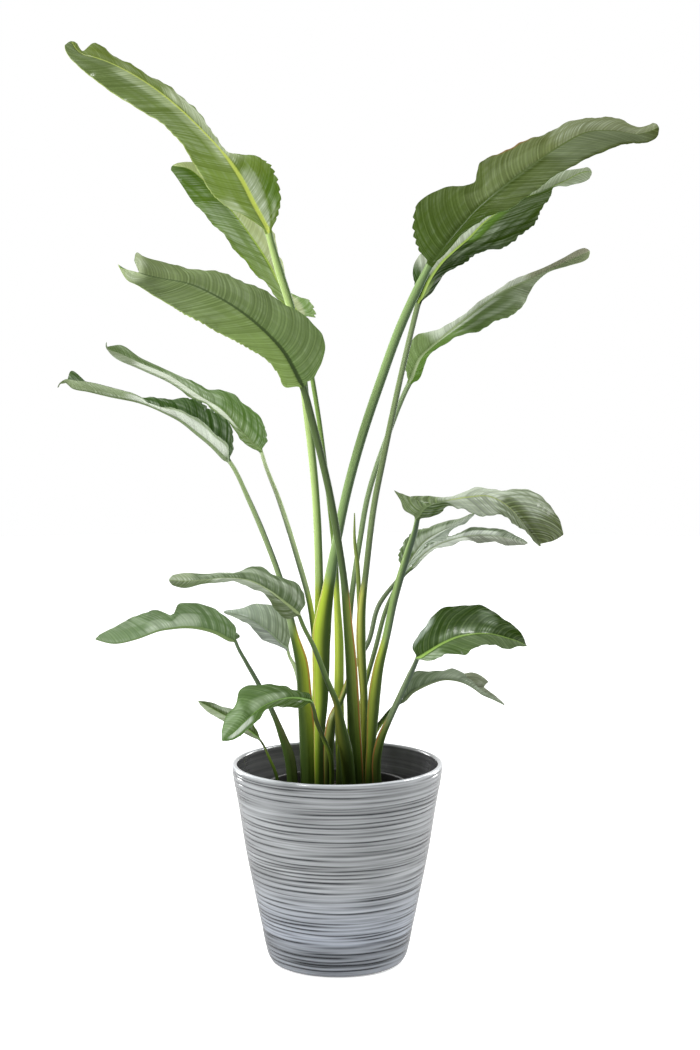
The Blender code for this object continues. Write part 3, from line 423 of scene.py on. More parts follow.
def blade_lift(length, share, radius, width, distance, ring_share, place, opened, wave, calm_from):
    """How far each ring point lies off a plain blade, along its way up."""
    # Where a blade is folded shut or thin at its tip it lies smooth, so that its halves don't cross
    smoothed = ease(opened / 0.8) * (1 - 0.9 * ease((share - calm_from) / 0.15))
    fullness = np.minimum(1, width / WAVE_FULL_WIDTH) * np.sqrt(np.sin(math.pi * share)) * smoothed
    swell = np.sin(2 * math.pi * length / WAVE_LENGTH + WAVE_OFFSET * RING_HALF)
    lift = wave * MM * swell * fullness * ring_share**1.7
    drift = 1.3 * RING_HALF + 2 * np.sin(length / RUFFLE_DRIFT)
    ruffle = np.sin(2 * math.pi * length / RUFFLE_LENGTH + drift)
    lift += RUFFLE_HEIGHT * ruffle * fullness * ring_share**6
    lift += np.minimum(CROWN, FOLDED_CROWN * opened) * width * np.sin(math.pi * ring_share)
    pleat = np.cos(2 * math.pi * place / VEIN_SPACING) * ease(distance / PLEAT_FADE - 0.3)
    uneven = 0.65 + 0.35 * np.sin(place / (16 * MM) + 2 * np.sin(place / (37 * MM)))
    calm = np.clip(width / PLEAT_FULL_WIDTH - 0.25, 0, 1) * ease((1 - share) / 0.12) * smoothed
    lift += PLEAT_HEIGHT * pleat * uneven * calm * (1 - 0.5 * ring_share)
    # The rib stands out below, and leaves a shallow channel above
    bulge = radius * np.sqrt(np.clip(1 - (distance / (1.2 * radius)) ** 2, 0, 1))
    upper_face = BLADE_THICKNESS / 2 - RIB_CHANNEL * bulge
    underside = -BLADE_THICKNESS / 2 - RIB_DEPTH * bulge
    return lift + np.where(RING_UP, upper_face, underside)


print("thickness of a blade:", round(BLADE_THICKNESS / MM, 2), "mm")

# %% [markdown]
# A station's ring is an oval round the stalk, or goes out from the rib along both halves and up by the
# lift. Where the blade begins, one ring changes over into the other.

# %% Rings of a stalk and a blade
STALK_FLATNESS = 0.8
NARROWEST_HALF = 1.25
BLEND_LENGTH = 20 * MM


def leaf_rings(course, half, share, at, start, wave, groove, teeth, calm_from):
    """All rings of a leaf as an array of stations by ring points, with each point's distance from the rib,
    its share of the way to the margin, and where its vein left the rib."""
    rib, left, right = course[:, 0], course[:, 1], course[:, 2]
    forward = unit(np.gradient(rib, axis=0))
    across = right - left
    across = unit(across - forward * (across * forward).sum(axis=1)[:, None])[:, None]
    up = np.cross(across, forward[:, None])
    around = np.cos(RING_ANGLE)[:, None] * across + STALK_FLATNESS * np.sin(RING_ANGLE)[:, None] * up
    oval = rib[:, None] + (half[:, None] * (1 - groove))[..., None] * around
    if not share.any():
        nothing = np.zeros(oval.shape[:2])
        return oval, nothing, nothing, nothing
    widths, ways_out, ways_up, upright, opened = blade_halves(rib, left, right, half, forward)
    widths = torn(widths, teeth, share, at - start)
    width, out, normal = (np.stack(pair, axis=1)[:, RING_HALF] for pair in (widths, ways_out, ways_up))
    radius, length, share, opened = (values[:, None] for values in (half, at - start, share, opened))
    width = np.maximum(width, NARROWEST_HALF * radius)
    distance = RING_REACH * radius + (width - RIB_REACHES[-1] * radius) * RING_FAR
    ring_share = distance / width
    normal = unit(blend(upright[:, None], normal, ease(distance / (1.3 * radius))[..., None]))
    place = vein_place(length, share, width, ring_share)
    lift = blade_lift(length, share, radius, width, distance, ring_share, place, opened, wave, calm_from)
    winged = rib[:, None] + out * distance[..., None] + normal * lift[..., None]
    # The stalk's oval opens into the blade over the first millimetres
    reach = min(BLEND_LENGTH, 0.12 * (at[-1] - start))
    rings = blend(oval, winged, ease((length + 0.25 * reach) / reach)[..., None])
    return rings, distance, ring_share, place


print("the stalk opens into the blade over up to", round(BLEND_LENGTH / MM), "mm")

# %% [markdown]
# ## One sheet for each leaf
# We start from a flat grid with one row of points for each station and one column for each point of a
# ring, and move its points to their places by formula. The first and last columns meet and are welded, and
# both ends are filled. The rows and columns then say which faces are upper face, underside, rib or stalk.

# %% Rolling a grid up into a leaf
STALK_SLOT, UPPER_SLOT, UNDER_SLOT = range(3)


def kept(made, name):
    """The bmesh as a mesh for an object."""
    mesh = bpy.data.meshes.new(name)
    made.to_mesh(mesh)
    made.free()
    return mesh


def rolled_sheet(name, rings, skin_slots, layers):
    """A closed mesh through rings. skin_slots is a material index for each row and column of faces,
    layers holds an array of three numbers a point for each attribute's name."""
    count, around = rings.shape[:2]
    mesh = bmesh.new()
    bmesh.ops.create_grid(mesh, x_segments=count - 1, y_segments=around, size=1)
    tags = {key: mesh.verts.layers.float_vector.new(key) for key in layers}
    places = [
        (vert, round((vert.co.x + 1) / 2 * (count - 1)), round((vert.co.y + 1) / 2 * around) % around)
        for vert in mesh.verts
    ]
    for face in mesh.faces:
        middle = face.calc_center_median()
        row = int((middle.x + 1) / 2 * (count - 1))
        face.material_index = int(skin_slots[row, int((middle.y + 1) / 2 * around)])
        face.smooth = True
    for vert, row, column in places:
        vert.co = rings[row, column]
        for key, tag in tags.items():
            vert[tag] = layers[key][row, column]
    bmesh.ops.remove_doubles(mesh, verts=mesh.verts, dist=WELD)
    bmesh.ops.holes_fill(mesh, edges=[edge for edge in mesh.edges if edge.is_boundary], sides=0)
    bmesh.ops.recalc_face_normals(mesh, faces=mesh.faces)
    return kept(mesh, name)


def add_piece(mesh, finishes, node):
    """Puts a finished mesh in the scene in the place of a CAD node, and counts its triangles."""
    piece = add_object(mesh.name, mesh)
    for made in finishes:
        mesh.materials.append(made)
    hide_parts(node)
    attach(piece, "root")
    return sum(len(face.vertices) - 2 for face in mesh.polygons)


print("skins of a leaf, by slot:", STALK_SLOT, UPPER_SLOT, UNDER_SLOT)

# %% [markdown]
# ## Painting a leaf
# No two leaves of the plant have the same green: old ones are dark, young ones yellow-green, and wax
# bleaches some to grey. Light and shade are painted into these colours as well. So each leaf has its own
# small set of colours, and a function spreads them: from base to tip, from rib to margin, and up the
# stalk, which is painted with a lit and a shaded side. The stalk is dark at its foot, partly as painted
# shade down in the pot, yellow-green where its sheath clasps the younger stalks, and plain green above.

# %% Plain colours
PLAIN_PAINT = {
    "faces": ("#556F25", "#62792F", "#556F25", "#62792F"),
    "under": ("#5F7852", "#6F8566"),
    "rib": "#8FA84E",
    # The sheath's colour high up and low down, and the side that is painted lit: -1 left, 1 right
    "sheath": ("#9DB044", "#5E7A28", -1),
    # The sheath's painted shade, on its side away from the light
    "clasp_back": "#3E5222",
    "edge": None,
    "margin": None,
    "washes": (),
    "washed_face": 1,
    "habit": (0.1, 0.2, 0.2),
    "rib_from": -0.1,
}
print("colours that a leaf can leave plain:", ", ".join(PLAIN_PAINT))

# %% [markdown]
# Washes are soft patches of colour, laid on one half one over another, as with a wet brush. Some give a
# leaf its own colour, such as a pale tip, a grey underside or a red-brown margin. Many are painted light:
# pale painted highlights and sheen where a blade shines, painted reflection of the bright room, and dark
# painted shade in folds and creases. A pale one is partly wax bloom and partly painted sheen, which the
# skin then breaks up into streaks.

# %% Washes of colour
WASH_ALONG, WASH_ACROSS = 0.07, 0.12
PALE, SILVER_STREAKS = 0.2, 0.4


def washed(tint, washes, share, ring_share, face):
    """Lays soft patches of colour on the blade, some of them painted highlights, sheen, reflection and
    shade:
    (half, share of length from, to, share of width from, to, colour, strength). Also returns how much wax
    bloom and painted sheen each point has, which the skin breaks up into streaks."""
    wax_and_sheen = np.zeros(ring_share.shape)
    for side, first, last, near, far, colour, strength in washes:
        along = ease((share - first) / WASH_ALONG + 0.5) * ease((last - share) / WASH_ALONG + 0.5)
        across = ease((ring_share - near) / WASH_ACROSS + 0.5) * ease((far - ring_share) / WASH_ACROSS + 0.5)
        weight = strength * along[:, None] * across * ((RING_HALF == side) & (RING_UP == (face > 0)))
        # A pale wash goes partly into the streaks of wax bloom and painted sheen
        if linear(colour).mean() > PALE:
            wax_and_sheen = np.maximum(wax_and_sheen, SILVER_STREAKS * weight)
            weight = (1 - SILVER_STREAKS) * weight
        tint = blend(tint, linear(colour), weight[..., None])
    return tint, wax_and_sheen


print("softness of a wash along and across the blade:", WASH_ALONG, WASH_ACROSS)

# %% [markdown]
# The painter colours the faces first, then lays on the washes, the margin and the rib. The stalk is painted
# with a lit and a shaded side, and takes up the sheath's colours further down, which are also painted lit
# on one side and in shade on the other.

# %% The painter
UPPER_RIB, UNDER_RIB = 0.55, 1.01
MARGIN_SHARE = 0.985
# A stalk's foot: dark in itself, and darker still with painted shade down in the pot
DARK_AND_SHADED_FOOT = linear("#2A3A12")
FOOT_RISE = 55 * MM
LOW_SHEATH = 190 * MM


def paint_stalk(paint, rings, sheath):
    """The tint of a stalk and its sheath, with light and shade painted in: the stalk painted lit on its
    left, and the sheath lit on one side and in its shade colour on the other.
    """
    light, dark = (linear(colour) for colour in paint["stem"])
    # The stalk is painted lit on its left and shaded on its right
    stem = blend(light, dark, ease(0.5 + 0.55 * np.cos(RING_ANGLE + math.radians(12)))[:, None])
    upper, low, side = paint["sheath"]
    # The sheath darkens downwards, partly in its own colour and partly as painted shade in the pot
    clasp = blend(linear(upper), linear(low), ease(1 - (rings[..., 2:] - SOIL_TOP) / LOW_SHEATH))
    # The side away from the light is painted in the sheath's shade colour
    turned = ease(0.55 - 0.75 * side * np.cos(RING_ANGLE))[:, None]
    clasp = blend(clasp, linear(paint["clasp_back"]), turned)
    wrap = sheath[:, None, None]
    stem = blend(stem, clasp, wrap)
    if paint["edge"]:
        seam = np.degrees(RING_ANGLE) - (90 - 62 * side)
        stem = blend(stem, linear(paint["edge"]), np.exp(-((seam / 7) ** 2))[:, None] * wrap)
    # The foot is painted dark, partly its own colour and partly painted shade in the pot
    return blend(DARK_AND_SHADED_FOOT, stem, ease((rings[..., 2:] - SOIL_TOP - 8 * MM) / FOOT_RISE))


def paint_leaf(paint, rings, share, distance, radius, ring_share, sheath):
    """The tint of every ring point, and how much wax bloom and painted sheen it has. faces holds the left
    half's colour at its base and tip, then the right half's."""
    along = ease(share)[:, None, None]
    base_left, tip_left, base_right, tip_right = (linear(colour) for colour in paint["faces"])
    under = blend(*(linear(colour) for colour in paint["under"]), along)
    right_half, upper = (RING_HALF == RIGHT)[:, None], RING_UP[:, None]
    face = np.where(right_half, blend(base_right, tip_right, along), blend(base_left, tip_left, along))
    tint = np.where(upper, face, under)
    tint, wax_and_sheen = washed(tint, paint["washes"], share, ring_share, paint["washed_face"])
    if paint["margin"]:
        edge = (ring_share > MARGIN_SHARE)[..., None] & ~right_half
        tint = np.where(edge, linear(paint["margin"]), tint)
    rib = linear(paint["rib"])
    rib = blend(rib, 0.5 * (rib + tip_left), along)
    rib = blend(base_left, rib, ease((share - paint["rib_from"]) / 0.06)[:, None, None])
    rib = np.where(upper, rib, 0.5 * (rib + under))
    on_rib = distance <= np.where(RING_UP, UPPER_RIB, UNDER_RIB) * radius
    tint = np.where(on_rib[..., None], rib, tint)
    return np.where(share[:, None, None] > 0, tint, paint_stalk(paint, rings, sheath)), wax_and_sheen


print("a stalk's foot in linear light:", np.round(DARK_AND_SHADED_FOOT, 3))

# %% [markdown]
# ## Making a leaf
# Now the steps come together. On the stalk, the ring gets the channel that runs down the upper side of a
# leaf stalk. In the sheath zone the channel widens into an open sheath.

# %% The leaf maker
GROOVE_DEPTH = 0.2
GROOVE_WIDTH, SHEATH_GROOVE_WIDTH = 18, 30
SHEATH_FADE = 30 * MM
leaf_triangles = {}


def make_leaf(
    name, foot, stalk, blade=(), lean=0, wave=3, opening=60, sheath_top=600, tip_length=7, teeth=(),
    calm_from=1.2, slot="leaf_green", **paint
):
    """A leaf, a spear or a shoot in the place of its CAD node. opening is the way the stalk's channel
    faces, in degrees from its right side, sheath_top the picture row where its sheath ends, teeth the
    torn stretches of its margins, and calm_from the share of its length from where it lies smooth."""
    paint = {**PLAIN_PAINT, **paint}
    course, half, share, at, start = leaf_course(foot, lean, stalk, blade)
    # The blade's last millimetres narrow to a round tip
    rounding = np.sqrt(np.clip((at[-1] - at) / (tip_length * MM), 0, 1))[:, None, None]
    course = course[:, :1] + (course - course[:, :1]) * np.where(share[:, None, None] > 0, rounding, 1)
    sheath = 1 - ease((course[:, 0, 2] - height_seen(sheath_top)) / SHEATH_FADE)
    turn = np.abs(np.degrees(RING_ANGLE) - opening)
    channel = np.exp(-((turn / GROOVE_WIDTH) ** 2))
    wide_channel = np.exp(-((turn / SHEATH_GROOVE_WIDTH) ** 4))
    groove = GROOVE_DEPTH * blend(channel, wide_channel, sheath[:, None])
    rings, distance, ring_share, place = leaf_rings(
        course, half, share, at, start, wave, groove, teeth, calm_from
    )
    tints, wax_and_sheen = paint_leaf(paint, rings, share, distance, half[:, None], ring_share, sheath)
    every = np.ones(place.shape)
    way_round = (np.cos(RING_ANGLE) * every, np.sin(RING_ANGLE) * every)
    layers = {
        "leaf_tint": tints,
        "leaf_place": np.stack([place, distance, share[:, None] * every], axis=-1),
        "leaf_habit": paint["habit"] + wax_and_sheen[..., None] * (0, 1, 0),
        "stalk_place": np.stack([at[:, None] * every, *way_round], axis=-1),
    }
    skins = np.where(RING_UP, UPPER_SLOT, UNDER_SLOT)
    skins = np.where((share[:-1] > 0)[:, None] & ~RIB_COLUMNS, skins, STALK_SLOT)
    mesh = rolled_sheet(f"{name}_grown", rings, skins, layers)
    leaf_triangles[name] = add_piece(mesh, [stalk_skin, upper_skin, under_skin], name)
    print(name, "stations", len(at), "triangles", leaf_triangles[name])

# %% [markdown]
# ## The leaves on the left
# The tall ones come first. Each call holds the sightings of one leaf: where its foot stands, the course of
# its stalk, and the rows across its blade. A row is the rib's sighting, then the steps from there to the
# left margin and to the right margin. They are the same sightings as those of the CAD solids, so that the
# finished leaf fills its solid.

# %% The tallest leaves on the left
make_leaf(
    "leaf_top_left", foot=(-30, 42, 15), lean=90, wave=1.5,
    teeth=((RIGHT, 0.03, 0.27, 4), (LEFT, 0.05, 0.25, 1.5)),
    stalk=(
        (317, 700, 40, 14), (319, 575, 38, 12), (316, 500, 34, 11), (308, 420, 30, 11), (290, 305, 25, 12),
        (279, 270, 24, 12), (270, 238, 22, 10),
    ),
    blade=(
        (269, 234, 22, -2, 1, 0, 3, -1, 0), (264, 223, 20, -18, -6, -8, 15, -9, 2),
        (254, 204, 17, -26, 4, -12, 27, -10, 8), (243, 182, 14, -31, 12, -14, 29, -16, 16),
        (233, 166, 12, -31, 12, -17, 19, -11, 22), (222, 151, 10, -29, 11, -17, 5, 1, 16),
        (208, 136, 8, -28, 6, -17, 5, -4, 32), (178, 107, 2, -20, 14, -16, 6, -9, 40),
        (150, 85, -2, -22, 18, -12, 2, -8, 42), (115, 65, -4, -19, 16, -8, 3, -7, 38),
        (93, 57, -4, -17, 7, -4, -1, -13, 16), (84, 55, -3, -15, 2, -3, -1, -4, 5),
        (77, 50, -2, -12, -1, -2, 2, -3, 2), (71, 41, -2, -6, 0, -1, 5, -1, 1),
    ),
    faces=("#6C8337", "#546338", "#5B7225", "#59682C"), rib="#B4C258", margin="#93A35C",
    stem=("#AEC67C", "#42592F"), sheath=("#A9BC45", "#5E8B2B", -1), habit=(0.05, 0.12, 0.3),
    # Painted light: pale highlights and sheen on the lobe, on a fold, beside the rib and on the right half,
    # and painted shade in the lobe's folds
    washes=(
        (RIGHT, 0.02, 0.24, 0, 0.42, "#A9B49A", 0.85), (RIGHT, 0.09, 0.2, 0.5, 0.95, "#4A6A1C", 0.65),
        (LEFT, 0.09, 0.17, 0.6, 1.2, "#C9D4AE", 0.6), (RIGHT, 0.07, 0.12, 0.6, 0.78, "#D5DFC2", 0.5),
        (RIGHT, 0.3, 0.62, 0.1, 0.8, "#C3CCAE", 0.6), (LEFT, 0.3, 0.8, 0, 0.3, "#B9C69A", 0.5),
    ),
)
make_leaf(
    "leaf_second_left", foot=(6, 22, 14), lean=170, teeth=((RIGHT, 0, 0.3, 5), (LEFT, 0.1, 0.3, 1.5)),
    stalk=(
        (339, 700, 26, 14), (339, 640, 28, 13), (337, 600, 30, 9), (334, 545, 34, 8), (329, 500, 38, 7),
        (319, 420, 50, 7), (307, 347, 56, 7), (304, 328, 56, 6),
    ),
    blade=(
        (302, 319, 56, -3, 2, 0, 3, -2, 0), (298, 313, 56, -8, -3, -5, 18, 4, 4),
        (291, 303, 57, -15, -7, -9, 21, 1, 9), (281, 287, 58, -18, -6, -12, 9, 4, 14),
        (268, 262, 58, -23, 0, -14, 13, -4, 22), (250, 235, 56, -24, 3, -14, 20, -7, 28),
        (225, 203, 54, -21, 11, -12, 21, -11, 30), (203, 180, 52, -15, 15, -8, 9, -12, 14),
        (186, 168, 50, -11, 7, -4, 2, -6, 6), (172, 166, 48, -3, 2, 0, 0, -2, 1),
    ),
    # The right half's pale colours are painted sheen over its green
    faces=("#6C842F", "#435E12", "#A1AA80", "#A2AE74"), rib="#94AC44", stem=("#7E9A4E", "#41562C"),
    sheath=("#BCCC54", "#8CA636", -1), clasp_back="#7E9340", habit=(0.1, 0.2, 0.25),
    washes=((RIGHT, 0, 0.3, 0.4, 1, "#5E8038", 0.8), (LEFT, 0.1, 0.7, 0.1, 0.9, "#76846A", 0.3)),
)
make_leaf(
    "leaf_front_left", foot=(30, 9, 16), lean=-170, wave=2, tip_length=1, teeth=((LEFT, 0.1, 0.7, 2),),
    stalk=(
        (353, 700, 2, 18), (351, 660, -6, 16), (348, 625, -18, 13), (344, 580, -30, 10),
        (338, 540, -40, 10), (331, 500, -46, 10), (312, 420, -54, 10), (304, 390, -56, 9),
    ),
    blade=(
        (303, 387, -56, -3, 2, 0, 3, -2, 0), (299, 379, -58, -14, 8, -4, 15, -1, 8),
        (293, 367, -60, -14, 9, -6, 30, -9, 16), (284, 352, -62, -18, 8, -8, 39, -16, 22),
        (272, 338, -64, -22, 12, -10, 36, -19, 28), (250, 318, -68, -22, 20, -12, 34, -15, 34),
        (220, 298, -72, -22, 24, -14, 28, -15, 36), (190, 284, -76, -18, 23, -12, 22, -13, 34),
        (165, 279, -80, -17, 13, -8, 11, -13, 28), (150, 276, -82, -15, 8, -4, 6, -16, 14),
        (143, 274, -83, -17, 5, -2, 0, -18, 9), (140, 273, -83, -22, -8, -1, -4, -20, 6),
        (139, 272.5, -83, -18, -3.5, -1, -5, -10.5, 4),
    ),
    faces=("#768E4B", "#606F48", "#5B723E", "#66744B"), rib="#3A4C26", margin="#8FA35C",
    stem=("#55683C", "#3F4E33"), sheath=("#7A8838", "#4A6420", 1), edge="#A8673F", habit=(0.2, 0.06, 0.08),
    washes=(
        (LEFT, 0.9, 1.1, 0, 1, "#B9C79A", 0.8), (RIGHT, 0.93, 1.1, 0, 1, "#C3D0A6", 0.85),
        (RIGHT, 0.1, 0.6, 0.2, 0.9, "#6E7E54", 0.3),
    ),
)

# %% [markdown]
# Lower on the left, the leaves are smaller, and two of them are folded along their ribs, so that their
# grey undersides show.

# %% The middle leaves on the left
make_leaf(
    "leaf_middle_left", foot=(-20, 16, 11), lean=60, calm_from=0.42, sheath_top=610,
    teeth=((RIGHT, 0, 0.15, 3),),
    stalk=((316, 650, 24, 9), (309, 600, 28, 8), (298, 560, 34, 8), (279, 500, 40, 8), (263, 457, 44, 7)),
    blade=(
        (262, 453, 46, 0, 1, -4, 0, -1, 4), (255, 446, 47, -4, 2, -11, 13, -6, 19),
        (240, 430, 46, -3, 4, -22, 17, -15, 46), (222, 410, 45, -2, 5, -25, 14, -13, 47),
        (200, 396, 42, -3, 5, -25, 4, -10, 46), (170, 376, 36, -4, 5, -23, 2, -3, 42),
        (140, 363, 30, -3, 5, -18, 1, -5, 28), (118, 353, 26, -4, 4, -10, 1, -8, 12),
        (110, 350, 24, -1, 2, -2, 1, -4, 3), (106.5, 347, 23, -0.5, 0.5, -1, 0.5, -0.5, 1),
        (106.5, 342, 23, -0.5, 0, -1, 0.5, 0, 1),
    ),
    faces=("#597135", "#6F7960", "#4C6A2D", "#4F6138"), rib="#6E8250", stem=("#A0B084", "#485A3C"),
    # The near-white wash on the left half is painted sheen
    washes=(
        (LEFT, 0.22, 0.8, 0, 0.8, "#EAEFE2", 0.85), (RIGHT, 0.35, 0.65, 0, 0.5, "#A9B79A", 0.4),
        (RIGHT, 0, 0.3, 0, 0.3, "#9DB07C", 0.3),
    ),
)
make_leaf(
    "leaf_folded_left", foot=(-40, -12, 24), lean=-30, calm_from=0.5, sheath_top=640,
    teeth=((RIGHT, 0.03, 0.4, 3),),
    stalk=(
        (308, 740, -11, 25), (305, 700, -11, 21), (301, 660, -9, 18), (295, 638, -8, 12), (279, 575, -5, 8),
        (266, 540, -5, 8), (249, 500, -6, 8), (232, 465, -8, 7.5),
    ),
    blade=(
        (230, 462, -8, 0, -1, -3, 1, -1, 3), (224, 457, -9, 4, -11, -13, 10, -9, 13),
        (212, 445, -10, 3, -12, -16, 19, -19, 20), (196, 432, -11, 3, -12, -17, 18, -22, 23),
        (182, 421, -12, 1, -11, -18, 14, -21, 22), (165, 412, -13, 0, -4, -17, 7, -14, 21),
        (140, 402, -15, -4, -7, -17, 2, -4, 19), (110, 396, -17, 0, -9, -17, 2, -5, 15),
        (88, 391, -19, 0, -9, -15, 1, -7, 13), (73, 388, -21, 0, -8, -11, -2, -17, 13),
        (64, 382, -22, 0, -2, -3, 1, 1, 3), (60, 383.5, -22, 0, -0.5, -1, 0, 0.5, 1),
        (57.5, 388, -22, -0.5, 0, -1, 0.5, 0, 1),
    ),
    faces=("#2E4718", "#20300B", "#2F491A", "#334C1C"), under=("#7E8C70", "#72805C"), rib="#6E8250",
    stem=("#86996A", "#42543A"), sheath=("#96A43C", "#4E6820", 1), edge="#B0703F", habit=(0.1, 0.25, 0.3),
    washed_face=-1,
    washes=((LEFT, 0.05, 0.62, 0.1, 0.7, "#E6EAE3", 0.75), (RIGHT, 0.38, 0.6, 0.3, 0.9, "#C8CFC4", 0.5)),
)
make_leaf(
    "leaf_rolled_left", foot=(17, -16, 20), lean=-120, calm_from=0.6, sheath_top=700,
    stalk=(
        (345, 750, -21, 21), (340, 722, -28, 14), (337, 705, -34, 9), (327, 680, -46, 8),
        (313, 645, -58, 7.5), (301, 620, -66, 7),
    ),
    blade=(
        (300, 617, -66, 0, 1, -3, 0, -1, 3), (294, 610, -68, -8, 9, -12, 12, -8, 16),
        (284, 602, -70, -8, 7, -18, 16, -14, 26), (268, 590, -73, -5, 4, -19, 12, -14, 33),
        (250, 581, -76, -3, 4, -20, 8, -13, 38), (225, 578, -80, -2, 4, -16, 7, -6, 35),
        (203, 580, -84, -1, 4, -12, 2, -6, 18), (185, 581, -86, -1, 7, -6, 0, -8, 10),
        (169, 580, -88, -1, 4, -1, -1, -4, 2),
    ),
    faces=("#505D3C", "#596746", "#4E5F3D", "#606F53"), rib="#8C9C6A", stem=("#566B3A", "#36442A"),
    sheath=("#7A7A34", "#4A5E20", 1), edge="#A8673F", habit=(0.08, 0.15, 0.15),
    # The grey wash along the left half is painted sheen
    washes=(
        (LEFT, 0.3, 0.7, 0, 1, "#B4BBB1", 0.5), (RIGHT, 0.1, 0.8, 0.4, 0.7, "#B4BEAA", 0.45),
        (RIGHT, 0.85, 1.1, 0, 1, "#BCC8A4", 0.6),
    ),
)

# %% [markdown]
# The lowest leaves on the left are the oldest and the smallest.

# %% The lowest leaves on the left
make_leaf(
    "leaf_low_left", foot=(-63, -20, 16), lean=-20, sheath_top=720,
    stalk=(
        (289, 755, -22, 15), (282, 735, -24, 11), (277, 722, -26, 8), (258, 683, -30, 6.5),
        (245, 660, -32, 6.5), (237, 645, -33, 6),
    ),
    blade=(
        (236, 642, -33, 0, -1, -3, 1, 0, 3), (229, 639, -34, 7, -9, -12, 11, -3, 20),
        (215, 632, -35, 7, -19, -15, 9, -10, 37), (200, 628, -36, 4, -22, -16, 6, -13, 44),
        (182, 627, -38, -4, -23, -12, 0, -14, 46), (172, 628, -38, 0, -12, -10, -1, -12, 42),
        (160, 630, -39, -3, -20, -11, -2, -11, 42), (135, 639, -41, 2, -23, -9, 1, -13, 31),
        (112, 643, -43, 0, -15, -5, 0, -9, 15), (95, 639, -44, 0, -2, -1, 1, 1, 2),
    ),
    faces=("#2F4818", "#4E6C30", "#3A5024", "#607848"), under=("#4A6038", "#708660"), rib="#7C8F58",
    stem=("#526348", "#3E4B38"), sheath=("#616646", "#4A5A26", 1), habit=(0.1, 0.15, 0.4), washed_face=-1,
    # The first wash, pale on the left half, is a painted highlight
    washes=((LEFT, 0.32, 0.66, 0, 0.5, "#C8D4BE", 0.5), (RIGHT, 0.3, 1.1, 0.3, 1, "#C0CCB4", 0.3)),
)
make_leaf(
    "leaf_small_left", foot=(-49, 24, 8), lean=120, sheath_top=710,
    stalk=((302, 720, 25, 7), (294, 665, 26, 6), (289, 655, 26, 5)),
    blade=(
        (288, 651, 26, -1, 1, -2, 1, -1, 2), (281, 644, 25, -8, 0, -9, 9, -12, 11),
        (269, 632, 23, -9, 5, -14, 13, -20, 20), (252, 620, 20, -7, 2, -14, 10, -17, 18),
        (236, 614, 18, -2, 3, -8, 4, -5, 8), (223, 612, 17, 0, 1, 0, 1, -2, 1),
    ),
    faces=("#757A78", "#677260", "#5D6950", "#8B9788"), rib="#76866A", stem=("#90A078", "#66784C"),
)
make_leaf(
    "leaf_front_low", foot=(-8, -42, 7), lean=-110, sheath_top=740,
    stalk=((330, 755, -50, 6.5), (322, 735, -58, 6), (316, 720, -64, 6), (313, 706, -68, 5.5)),
    blade=(
        (312, 703, -68, -1, 1, -3, 1, -1, 3), (304, 699, -71, -3, 9, -11, 5, -6, 15),
        (288, 698, -75, -3, 8, -20, 3, -8, 27), (266, 705, -80, -1, 7, -22, -2, -22, 32),
        (251, 716, -84, 1, 9, -20, -12, -24, 29), (244, 722, -87, 2, 10, -17, -8, -19, 23),
        (234, 732, -90, 2, 6, -11, -8, -16, 16), (222, 741, -94, 2, 1, -1, -2, -2, 2),
    ),
    faces=("#344B10", "#44622A", "#314817", "#607B48"), rib="#6E9048", stem=("#414D26", "#2A3616"),
    habit=(0.1, 0.08, 0.4),
    # The near-white wash on the left half is a painted highlight
    washes=(
        (LEFT, 0.62, 0.92, 0.15, 0.75, "#DDE5DA", 0.75), (RIGHT, 0.3, 0.6, 0, 0.4, "#A9BC98", 0.5),
        (RIGHT, 0.7, 1, 0.3, 0.9, "#A4BA94", 0.45),
    ),
)
make_leaf(
    "leaf_lowest_left", foot=(-84, -5, 5), lean=30, sheath_top=760,
    stalk=((277, 778, -8, 5), (268, 755, -17, 4.5), (264, 746, -22, 4)),
    blade=(
        (261, 741, -24, 0, 1, -5, 0, -1, 5), (252, 733, -28, -3, 3, -7, 5, -3, 9),
        (236, 722, -32, -8, 2, -12, 10, -8, 24), (216, 711, -36, -4, 4, -8, 8, -5, 18),
        (198, 701, -40, -1, 1, 0, 1, -1, 1),
    ),
    faces=("#7D876C", "#7C8668", "#405222", "#3F5028"), rib="#6E9048", stem=("#56633C", "#3C4A2A"),
    habit=(0.1, 0.12, 0.4),
    washes=((RIGHT, 0.45, 0.8, 0.3, 1, "#B4C2A8", 0.5), (LEFT, 0.5, 1.1, 0, 1, "#A9BC98", 0.5)),
)

# %% [markdown]
# ## The leaves on the right
# The tall one at the top right has the plant's brightest sheath.

